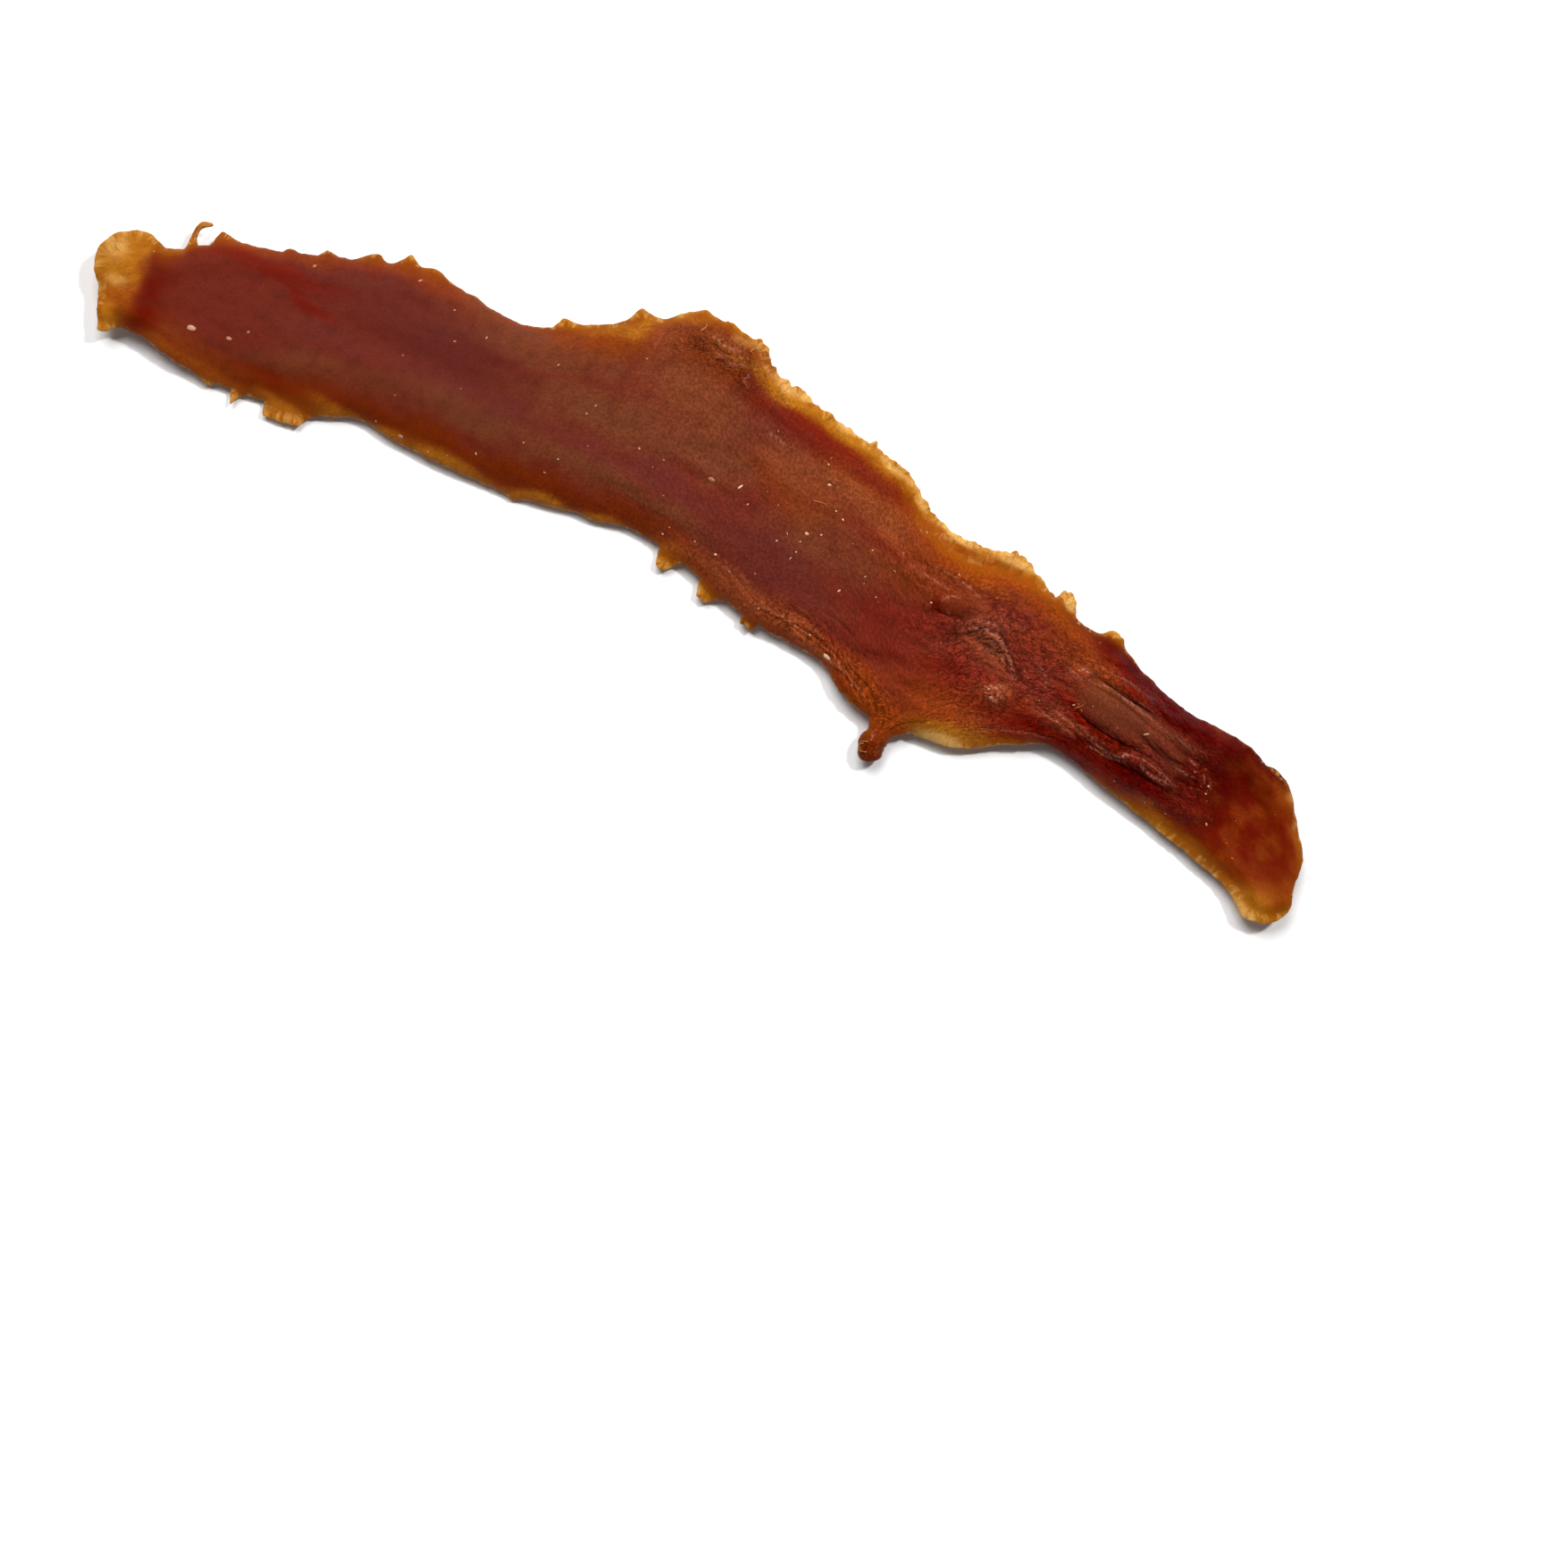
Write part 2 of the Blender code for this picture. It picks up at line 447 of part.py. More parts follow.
def paint_membrane(strip):
    """Gives the thin edge and the teeth the membrane's colour, and the rest the meat's."""
    strip.data.materials.append(material("dried_meat", *MEAT))
    strip.data.materials.append(material("dried_membrane", *MEMBRANE))
    for face in strip.data.polygons:
        inside = face.center - face.normal * INSIDE_STEP
        hit, place, _, _ = strip.ray_cast(inside, -face.normal)
        if hit and (place - inside).length < MEMBRANE_BELOW * MM:
            face.material_index = 1


def main():
    for old in list(bpy.data.objects):
        bpy.data.objects.remove(old)
    mesh = strip_mesh()
    strip = bpy.data.objects.new(NAME, mesh)
    bpy.context.scene.collection.objects.link(strip)
    bpy.context.view_layer.update()
    paint_membrane(strip)
    mesh.shade_smooth()
    mesh.set_sharp_from_angle(angle=math.radians(SHARP_ANGLE))


main()
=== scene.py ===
"""Dresses a strip of duck jerky: its dried skin, translucent fringe, flecks of fat and stray fibres.

Places on the strip are in millimetres on the drawing that its outline was made from. The values in DRAWING
move them to the frame's own origin. Everything that is built is in metres.
"""

import math
from functools import partial
from types import SimpleNamespace

import bmesh
import bpy
import numpy as np
from bpy.props import FloatProperty, FloatVectorProperty, IntProperty, PointerProperty
from mathutils import Matrix, Vector, bvhtree, kdtree, noise


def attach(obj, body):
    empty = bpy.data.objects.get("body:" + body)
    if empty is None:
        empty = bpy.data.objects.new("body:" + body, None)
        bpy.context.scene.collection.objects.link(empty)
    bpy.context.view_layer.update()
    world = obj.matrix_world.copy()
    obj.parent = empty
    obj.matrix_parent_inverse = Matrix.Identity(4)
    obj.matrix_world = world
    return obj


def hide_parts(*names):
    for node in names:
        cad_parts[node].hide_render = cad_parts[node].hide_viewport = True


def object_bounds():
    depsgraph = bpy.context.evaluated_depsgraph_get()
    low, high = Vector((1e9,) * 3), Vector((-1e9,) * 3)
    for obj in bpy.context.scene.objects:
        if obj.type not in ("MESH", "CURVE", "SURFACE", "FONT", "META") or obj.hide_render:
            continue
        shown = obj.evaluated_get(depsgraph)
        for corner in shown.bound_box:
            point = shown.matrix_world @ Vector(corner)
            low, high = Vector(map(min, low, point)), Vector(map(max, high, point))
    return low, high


bl_info = {
    "name": "Duck Jerky Strip",
    "version": (1, 0, 0),
    "blender": (4, 5, 0),
    "location": "3D View > Sidebar > Jerky",
    "description": "Dresses a strip of dried duck meat and sets it on a studio floor",
    "category": "Object",
}

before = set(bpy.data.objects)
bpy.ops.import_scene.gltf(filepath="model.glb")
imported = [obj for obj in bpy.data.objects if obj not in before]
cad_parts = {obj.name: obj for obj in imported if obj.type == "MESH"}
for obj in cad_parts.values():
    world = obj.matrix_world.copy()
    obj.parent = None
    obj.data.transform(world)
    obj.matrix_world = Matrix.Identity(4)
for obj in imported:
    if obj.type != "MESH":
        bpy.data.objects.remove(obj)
CAD_LOW, CAD_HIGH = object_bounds()
NODE = "jerky_strip"
MM = 0.001
DRAWING = (0.27, -6.486)

# Where the meat has another tint, as patches: (x, y, half length, half width, turn in degrees, strength).
TINTS = {
    # Partly a dull brown film, partly painted sheen where lumps and bands would mirror the soft light
    "film_and_painted_sheen": [
        (-41, 0, 5.5, 1.2, 24, 0.8), (-33.5, 2.2, 5, 1.2, 12, 0.85), (-25, 3.2, 6, 1.4, 5, 1),
        (-14, 3.7, 7, 1.2, 2, 0.9), (-5.5, 3.6, 4.5, 0.9, -8, 0.8), (-22, 11.4, 7.5, 1.7, 12, 0.8),
        (-13, 8.7, 9, 1.9, 8, 0.9), (-7, 13.5, 5, 2.2, -10, 0.8), (7.5, 7.2, 3.4, 2.4, 0, 0.7),
        (-42.5, 2, 2, 1, 0, 0.2), (13, 4, 4, 2, 0, 0.4), (-27, 12, 4, 0.9, -4, 0.7),
        (39, 6.2, 4.5, 1.2, -6, 0.9), (-3.5, 10, 4, 2, 0, 0.9), (46, 4.2, 1.6, 0.7, -10, 0.7),
        (45.2, 5.8, 1.4, 0.6, -10, 0.6), (3, 11.5, 4, 1.2, -10, 0.6), (19.5, 4, 4.5, 1.4, 0, 0.45),
        (-54.2, -1.4, 0.7, 0.6, 0, 0.9), (12, 8.6, 3, 1.6, 0, 0.5), (12.5, 6.4, 5, 1.8, 0, 0.6),
        (26, 6, 2.4, 1.2, -15, 0.4),
    ],
    "plum": [
        (-31, 6.3, 7, 3.2, 5, 0.9), (-22, 5.1, 2.6, 1.2, 0, 0.7), (-7.5, 6, 3.5, 1.2, 0, 0.7),
        (5, 3.6, 6.5, 2, -8, 0.8), (-38.5, 3.8, 4, 1.3, 10, 0.9), (15.5, 4.2, 4, 1.4, -5, 0.5),
        (-13, 5.4, 9, 0.9, 2, 0.5), (-4.5, 5.4, 3.5, 1, 0, 0.6), (-38, 8.4, 9, 2.6, 9, 0.6),
        (-44, 2, 5, 1.6, 10, 0.4), (27, 6, 4, 1.5, -15, 0.7), (2, 12, 5, 1.6, -10, 0.5),
    ],
    # Painted shade: a darker brown on the lower side, which turns away from the light; the same brown lies on
    # the knob and a lump
    "shade": [
        (-42, -2.8, 6.5, 1.2, 8, 0.8), (-30, -0.7, 9, 1.3, 3, 0.9), (-16, 0.3, 9, 1.3, 4, 0.9),
        (-6, 1.7, 5.5, 0.9, -6, 0.7), (7, -0.9, 8, 0.9, -10, 0.5), (20.8, -7.4, 2, 2.2, 0, 1),
        (21.5, 8, 2, 1, 10, 0.6),
    ],
    "brown": [
        (-6.5, 18.2, 5, 2.2, 0, 0.8), (-35, 12.2, 6, 1, 3, 0.7), (-46, 8.8, 7, 0.9, 20, 0.6),
        (-16, 16, 5, 1.6, 35, 0.9), (-22, 12.9, 5, 0.8, 10, 0.6), (12, -1.4, 8, 1.2, -10, 0.6),
        (20.6, -4.2, 1.4, 1.8, 0, 0.6), (33, 10.4, 5, 1.4, -12, 0.7), (-50, -2.6, 5, 0.9, -4, 0.7),
        (4, 10.4, 4.5, 1.8, -10, 0.5), (17, 8.4, 4, 1.4, 0, 0.5), (18, 10.2, 5, 1, -2, 0.6),
        (26, 5.4, 2.6, 1.2, -15, 0.3), (32, 7.6, 3.6, 1.8, -20, 0.5),
    ],
    "maroon": [
        (-50, 1.5, 6.5, 3.6, 0, 0.8), (-36, 4, 6, 3, 5, 0.4), (26.4, 4.4, 3.4, 1.6, -15, 0.9),
        (31, 5.6, 3.6, 2.6, 0, 0.8), (20, 5.6, 3.6, 2, 0, 0.6), (33, 2.6, 3, 1.4, 0, 0.6),
        (40, 4.6, 5, 2, -6, 0.4),
    ],
    "red": [
        (5, 15.1, 7.5, 1.1, -9, 0.7), (-46, 6.5, 5.5, 0.8, 8, 0.7), (-42.5, 5.2, 3, 0.5, -10, 0.7),
        (17, 4, 5, 2.5, 0, 0.5), (12, 10.5, 3, 1.2, -10, 0.5), (25, 2, 5, 2, 0, 0.4),
        (30, 8.5, 4, 1.6, -20, 0.15),
    ],
    "orange": [
        (10.5, 12.8, 5.5, 1.2, -9, 0.5), (21, 12.4, 6.5, 0.9, -2, 0.6), (24, -1.2, 5, 1.8, 0, 0.5),
        (57, 5, 2.4, 2, -40, 0.6), (-52, 7, 4, 0.8, 20, 0.5), (31, 11.4, 5, 0.8, -12, 0.4),
        (19, -3, 3, 1.2, -30, 0.5), (57.8, -1, 2, 1.4, 0, 0.35), (54.5, -0.6, 2.2, 1.2, -20, 0.5),
        (-58.2, -0.6, 1.6, 3.4, 12, 0.9), (-39.6, -3.7, 2.8, 0.9, 0, 0.9), (23.5, 10.6, 3, 0.7, 0, 0.4),
        (-50, -4.3, 6, 0.7, -2, 0.8), (-29, -1.9, 9, 0.6, 3, 0.7), (-12, -0.5, 7, 0.6, 8, 0.6),
        (-57.6, -3.7, 1, 0.8, 0, 0.6),
    ],
    "gold": [
        (53.4, 8.1, 2.6, 0.3, -17, 0.7), (56.9, 5.8, 1.8, 0.3, -52, 0.6), (58.9, 3, 1.8, 0.3, -60, 0.5),
        (25.8, -3, 2.8, 1, 10, 1), (56.5, -3.7, 4, 1.3, -20, 0.85), (47.5, -1.1, 3.2, 0.6, -10, 0.3),
        (52.5, -2.2, 2, 0.7, -15, 0.8), (-55.6, 5.4, 0.8, 2, 0, 0.9), (4, 17.2, 9, 0.7, -9, 0.8),
        (-15, 17.4, 4, 0.6, 35, 0.6), (-59.6, 1.6, 1.6, 2.8, 0, 0.9), (-58.4, -2.4, 1.2, 1.6, 0, 0.2),
        (-58, 3, 1.2, 1.2, 0, 0.6), (-39.8, -3.9, 2.4, 0.6, 0, 0.5), (-29, -2.1, 9, 0.5, 3, 0.7),
        (-12, -0.6, 7, 0.5, 8, 0.7), (-57.3, -3.8, 1.1, 1.3, 0, 0.8), (-58.4, 0.2, 1.1, 1.2, 0, 0.6),
    ],
    "cream": [
        (-60.3, 2, 1, 0.9, 20, 0.5), (-59.4, -0.8, 0.8, 0.5, 0, 0.3), (26, -3.7, 2.4, 0.6, 10, 1),
        (56.4, -4.6, 1.4, 0.4, -10, 0.6), (52.6, -3, 1.6, 0.3, -15, 0.7), (24.5, 13.8, 2, 0.4, 0, 0.6),
        (31, 12.8, 1, 0.5, -10, 0.8), (2.2, 18.1, 2.2, 0.35, -8, 0.65), (6.6, 17.5, 2, 0.3, -8, 0.7),
        (11, 16.2, 1.6, 0.3, -14, 0.6), (-5.4, 20.4, 1, 0.4, 0, 0.2), (14.6, 14.9, 1.2, 0.3, -30, 0.6),
        (19, 13.6, 2, 0.3, 0, 0.7), (-1.4, 18.6, 1.2, 0.3, -10, 0.7), (54.8, 7.5, 0.8, 0.2, -17, 0.6),
        (57.9, 4.2, 0.7, 0.2, -55, 0.5), (56.4, 6.4, 0.5, 0.2, -45, 0.5), (48.6, -2.3, 1.6, 0.25, -8, 0.7),
        (53.4, -3.6, 2, 0.3, -18, 0.7), (57.8, -4.9, 1.2, 0.4, -10, 0.7),
    ],
    "glow": [
        (36, 1.4, 5, 0.9, -2, 0.9), (41, 1.3, 3.5, 0.5, -4, 0.5), (32.5, 2.2, 3, 0.8, 15, 0.5),
        (34.5, 4.9, 2, 0.5, -20, 0.4),
    ],
    "tan": [
        (10, 12.2, 5.5, 1.4, -9, 0.6), (3.5, 12.2, 4, 1.4, -9, 0.5), (-9, 13.8, 5, 2.5, 0, 0.35),
        (-12, 17, 3, 1.6, 35, 0.35), (2, 0.6, 5, 1, -8, 0.45), (26, 5.8, 2.4, 1.2, -15, 0.5),
        (28.4, 2.4, 1.5, 0.9, 20, 0.8), (-7, 18.6, 3, 1.4, 0, 0.5), (36, 3, 4, 0.5, -4, 0.5),
        (11, -1.2, 5, 0.7, -10, 0.4), (35, 7.8, 3, 0.7, -10, 0.2), (24.5, 8.6, 3, 0.6, -6, 0.2),
        (31.5, 2, 4.5, 0.8, 5, 0.4),
    ],
    "ember": [
        (54, 2.2, 4.5, 4.6, -15, 0.9), (56.8, 1.6, 2.6, 3.2, 0, 0.7), (-44, 5.8, 4, 0.7, -5, 0.2),
        (36.5, 1.2, 6, 1.1, -2, 1), (40, 9.2, 6, 1.2, -12, 1), (-55, -1.5, 1.4, 3, 0, 0.8),
        (-55.6, 2.5, 0.9, 2, 0, 0.6), (-42, -2.6, 3.5, 0.7, 0, 0.6), (21, -1.6, 5, 3, -10, 0.35),
        (23.5, 1, 4, 2, 0, 0.3), (31, 1.6, 5, 1.5, 10, 0.5), (38, 3.8, 4, 0.8, -10, 0.9),
        (19.8, 7.2, 0.9, 0.6, 0, 0.8), (44, 9.2, 6, 1.2, -14, 0.7), (50, 0.4, 3, 0.8, -10, 0.6),
    ],
    # The dark red of the wrinkled end, and painted shade in the pocket beside the knob and along the upper
    # rim
    "deep": [
        (43, 1.4, 5.5, 1, -4, 0.8), (49, 4.6, 2.6, 3.2, -20, 0.8), (50.5, 7.2, 3.4, 1.4, -25, 0.9),
        (51, 8.2, 4, 0.7, -14, 0.7), (39.5, 9.9, 6, 0.7, -13, 0.8), (-3.9, 17.4, 1, 0.6, -60, 0.45),
        (44.5, 8.4, 4.5, 1.2, -16, 0.9), (54.5, 6, 2, 1.2, -35, 0.4), (51.5, 8.3, 4, 0.9, -14, 0.9),
    ],
}

# Where the edge is browned rather than golden, over its thin part only.
BROWNED = [
    (-49, -3.6, 6, 1.4, 2, 0.5), (-22, -1.6, 16, 1, 3, 0.5), (-44, 9.2, 9, 1.6, 22, 0.8),
    (-34, 13.4, 6, 1, 0, 0.8), (-26, 13, 5, 1.2, 0, 0.9), (-8, 20, 3.6, 1.6, 0, 0.8),
    (-4.2, 19.6, 2.2, 1.2, -20, 0.9), (11, -3, 8, 1.4, -14, 0.9), (44, 10, 8, 1.4, -10, 0.8),
    (60, -0.5, 0.8, 3, 10, 0.5), (38, -0.2, 6, 0.8, -6, 0.8), (-55.5, -1, 1.6, 3, 0, 0.5),
]

# Where the dried skin is drawn into wrinkles: patches as above.
WRINKLED = [
    (40, 4.6, 12, 5.6, -6, 1), (26.5, 5, 7.5, 5.5, 0, 0.9), (14, -1.8, 9, 1.6, -12, 0.9),
    (1, 1.2, 6, 1, -8, 0.5), (28, -0.4, 6, 3.5, 10, 0.6), (16, 9.5, 6, 2, -4, 0.4),
    (54, 2, 4.5, 5, 0, 0.25), (20.5, -6.5, 1.6, 3, 0, 0.5),
]

# Lumps among the wrinkles that stay smooth.
SMOOTH = [
    (39.2, 6.2, 4.4, 1.5, -4, 0.95), (45, 4.6, 1.9, 0.9, -12, 0.8), (26.2, 5, 2, 0.9, -20, 0.5),
    (21.8, 7.9, 1.8, 0.8, 20, 0.9), (55.5, 2.6, 5, 5, 0, 0.9), (21.5, 2.4, 3, 2, 0, 0.5),
]

# Grooves that the plain solid makes too wide, filled by up to FILL millimetres.
FILLED = [
    (38.7, 7.9, 3.2, 0.55, -5, 1), (38.7, 4.4, 3.6, 0.6, -6, 1), (44.2, 4.9, 1.9, 0.5, -15, 0.9),
    (43, 2.5, 4, 0.4, -3, 0.7), (21.6, 7, 2.8, 0.65, 6, 1), (26, 7.6, 1.6, 0.4, -20, 0.5),
]
FILL = 0.5

# Where highlights are painted on small crests.
GLINTS = [
    (28.2, 2.3, 1.3, 0.8, 20, 1), (26.5, 6.6, 3, 0.5, -15, 0.8), (27.8, 5.4, 1.8, 0.5, -40, 0.7),
    (35, 7.6, 1.6, 1, -10, 0.7), (38.5, 8.3, 3, 0.4, -6, 0.7), (39, 2.8, 3.2, 0.35, -4, 0.8),
    (44.6, 2.9, 2.6, 0.4, -8, 0.9), (44.8, 4.9, 1.6, 0.6, -10, 0.6), (48.2, 4, 1, 1.6, 0, 0.8),
    (50.2, 1, 0.8, 0.5, -30, 0.6), (22.5, 9.6, 4, 0.5, 0, 0.5), (21, 7.2, 1.2, 0.5, 0, 0.6),
    (33.6, 3.2, 1.6, 0.5, -20, 0.5), (-7, 18.6, 2.6, 1, 0, 0.8), (-4.6, 18.9, 1.2, 0.5, 0, 0.9),
    (20.6, -7.2, 1, 1.4, 0, 0.8), (0.4, 13.8, 1.6, 0.4, -5, 0.6), (8, 12.8, 4, 0.8, -8, 0.4),
    (15, 10.4, 3.5, 0.9, -8, 0.45), (-9.5, 16.6, 2, 0.8, 20, 0.4), (6, -0.8, 5, 0.5, -6, 0.5),
    (14, -2, 3, 0.5, -15, 0.5), (-5, 1.9, 3, 0.4, -6, 0.35), (24, -2, 2, 0.5, 20, 0.3),
    (37.8, 6.6, 3.4, 0.9, -4, 0.25), (17.5, 7.8, 2, 1.2, 0, 0.4), (31, 6, 2.5, 2.5, 0, 0.3),
]

# Where light comes through the thin end in blotches.
BLOTCHED = [
    (55.5, 2.5, 5, 5.5, -15, 1), (33.5, 8.8, 4, 1.2, -20, 0.7), (18, 11.2, 6, 1.4, 0, 0.6),
]

# Where it is crumpled without direction.
CRUMPLED = [
    (-6.5, 18.4, 4.6, 2.2, 0, 1), (-3.8, 17, 1.6, 1.4, 0, 0.7), (20.8, -7.4, 1.4, 1.4, 0, 0.8),
    (28, 2.4, 1.4, 0.8, 20, 0.6), (30.5, 10.4, 3, 0.8, -16, 0.5), (0.6, 13.9, 1.6, 0.5, -5, 0.5),
    (7.4, 12.6, 3, 0.9, -10, 0.35), (12.5, 12.2, 3, 0.8, -8, 0.4), (46.8, 3.6, 1.6, 1, 0, 0.7),
    (48.4, 4.6, 1.2, 1.4, 0, 0.5),
]
ROUGHEST = 0.75  # cover by wrinkles or crumples above which the skin is cut once more

# Fine creases in the skin, each as points along it, its depth and its half width. They are cut into the
# relief and darkened with painted shade.
CREASES = [
    ([(15.8, 9.7), (19, 9.9), (22.4, 9.1)], 0.15, 0.2), ([(16, 8.8), (17.8, 8.2), (19.2, 8.4)], 0.13, 0.2),
    ([(19.4, 7.1), (20.6, 6.7), (21.8, 7.2), (23.8, 7.4)], 0.1, 0.2),
    ([(19.2, 9.2), (19, 8.2), (19.6, 7.4)], 0.12, 0.22), ([(20, 9.3), (21.6, 9.4), (22.4, 8.4)], 0.16, 0.2),
    ([(16.6, 6.8), (18.4, 6.2), (20.6, 6.2)], 0.1, 0.2), ([(24.6, 8.6), (24.9, 10.6)], 0.12, 0.18),
    ([(22, 5.2), (23.4, 5.8), (24.2, 6.6)], 0.22, 0.22),
    ([(22.4, 4.9), (24.7, 6.9), (26.2, 7.3)], 0.2, 0.22),
    ([(23.7, 6.8), (25.9, 7.3), (27.5, 6.5), (29.2, 4.9)], 0.24, 0.22),
    ([(24.6, 6), (26.2, 6.4), (27.6, 5.6), (28.6, 4.6)], 0.14, 0.18),
    ([(25.4, 5.2), (26.6, 5.4), (27.6, 4.8)], 0.1, 0.18),
    ([(26.8, 8.2), (28.4, 7.2), (30.2, 5)], 0.12, 0.18),
    ([(24.1, 3.3), (25.8, 4.2), (27.4, 4.3)], 0.1, 0.2), ([(30.2, 9.8), (31, 8.9), (31.8, 8)], 0.1, 0.2),
    ([(31, 10.6), (31.8, 9.8), (32.4, 8.8)], 0.14, 0.18), ([(33, 9.8), (33.9, 8.2), (34.2, 6)], 0.08, 0.2),
    ([(32, 7.6), (33, 6.8), (33.4, 5.6)], 0.14, 0.18), ([(29.6, 8.6), (30.8, 7), (31.2, 5.6)], 0.1, 0.18),
    ([(35.3, 7.1), (38.7, 7), (42.8, 5.9)], 0.22, 0.2), ([(36, 7.9), (39, 7.8), (42.6, 6.6)], 0.12, 0.16),
    ([(37, 8.6), (40, 8.5), (44.4, 6.8)], 0.18, 0.2), ([(38.6, 9.4), (42, 8.9), (46, 7.2)], 0.12, 0.18),
    ([(35.4, 4.6), (37.4, 3.7), (39.8, 3.3), (42.2, 4.2)], 0.16, 0.24),
    ([(33.8, 4.4), (36, 3.2), (38.4, 2.7), (40.4, 2.3), (43.4, 2.6), (46.4, 2.1)], 0.2, 0.22),
    ([(34.4, 3.3), (37, 2.2), (41, 1.8), (47, 1.6)], 0.14, 0.22),
    ([(41, 3.6), (43.6, 3.6), (46, 3)], 0.18, 0.2), ([(42.4, 5.4), (44.6, 4.5), (46.8, 4.4)], 0.2, 0.22),
    ([(43.6, 6.2), (45.6, 5.4), (48, 5.4)], 0.14, 0.2),
    ([(45.4, 7.6), (47.2, 6.8), (49.6, 6.6)], 0.12, 0.18), ([(46.4, 4), (48, 3.4), (49, 2.2)], 0.16, 0.2),
    ([(47.6, 5.2), (49.4, 4.8), (50.6, 3.6)], 0.12, 0.2),
    ([(31, 3.8), (32.6, 3.2), (34.6, 2.6)], 0.14, 0.2),
    ([(27.5, -2.3), (31.2, 0.2), (35, 1.3), (38, 1.2)], 0.16, 0.18),
    ([(28.6, -1.2), (31.6, 0.9), (35.6, 1.8)], 0.13, 0.16),
    ([(27.5, 0.4), (31.2, 1.7), (33.7, 2)], 0.12, 0.16),
    ([(29.4, -1.8), (32, -0.2), (36, 0.7)], 0.12, 0.16), ([(24, 0.8), (26.4, 1.6), (29.4, 3.4)], 0.1, 0.18),
    ([(4.4, -0.6), (8.4, -0.5), (12, -1)], 0.15, 0.18),
    ([(6.4, 0.4), (10.6, 0.7), (14.6, -0.8)], 0.15, 0.18),
    ([(9, -0.2), (13.6, -0.8), (17.4, -2.9)], 0.17, 0.18),
    ([(12.6, -1.9), (16, -2.5), (18.8, -4)], 0.15, 0.18),
    ([(14.6, -2.9), (17.4, -3.9), (19.2, -5.2)], 0.14, 0.16),
    ([(16, -1.6), (18.6, -2.6), (20.3, -4.8)], 0.17, 0.18),
    ([(19.6, -2.9), (20.6, -4.4), (20.6, -6.4)], 0.16, 0.18),
    ([(24.2, -2.6), (22.4, -3.6), (21.1, -5.4)], 0.18, 0.2),
    ([(23.4, -1.6), (21.6, -2.9), (20.9, -4.6)], 0.13, 0.18),
    ([(20.2, -6), (20.2, -7.6), (19.9, -8.6)], 0.16, 0.16),
    ([(21.1, -6.4), (21.3, -7.6), (21.6, -8.4)], 0.14, 0.16),
    ([(10.6, 1.9), (13, 1.8), (15.6, 0.8)], 0.16, 0.22), ([(14, 1.2), (17, 0.6), (19.6, 1.4)], 0.1, 0.24),
    ([(-12, 3.2), (-8, 3.6), (-3.4, 3)], 0.04, 0.24), ([(-9.6, 2.6), (-4, 2.7), (0.6, 1.4)], 0.08, 0.2),
    ([(-3, 2.4), (2.6, 1.9), (7, 0.1)], 0.08, 0.2), ([(-10.4, 7.5), (-7, 7.7), (-3.6, 7.2)], 0.05, 0.2),
    ([(-3.4, 7.2), (-0.4, 6.9), (2.4, 6.2)], 0.05, 0.2),
    ([(-9.2, 20), (-9, 17.6), (-8.4, 15.6)], 0.12, 0.2),
    ([(-3.2, 18.7), (-2.8, 17.6), (-3.4, 16.4)], 0.2, 0.2),
    ([(-5.2, 18.2), (-5, 17), (-4.2, 16.2)], 0.18, 0.2),
    ([(-8.6, 18.6), (-7, 18.4), (-5.4, 18.9)], 0.2, 0.2), ([(6, 9.3), (8, 9.7), (9.8, 9.6)], 0.08, 0.18),
    ([(-34, 7.2), (-31.6, 7.9), (-28.8, 8.5)], 0.05, 0.3),
    ([(8.8, 11.4), (11.4, 11), (14.2, 11.4)], 0.07, 0.18),
    ([(-46, 5.9), (-43.4, 5.6), (-41.6, 5.9)], 0.06, 0.24),
]
CREASE_STEP = 0.08  # between the places along a crease that are looked at
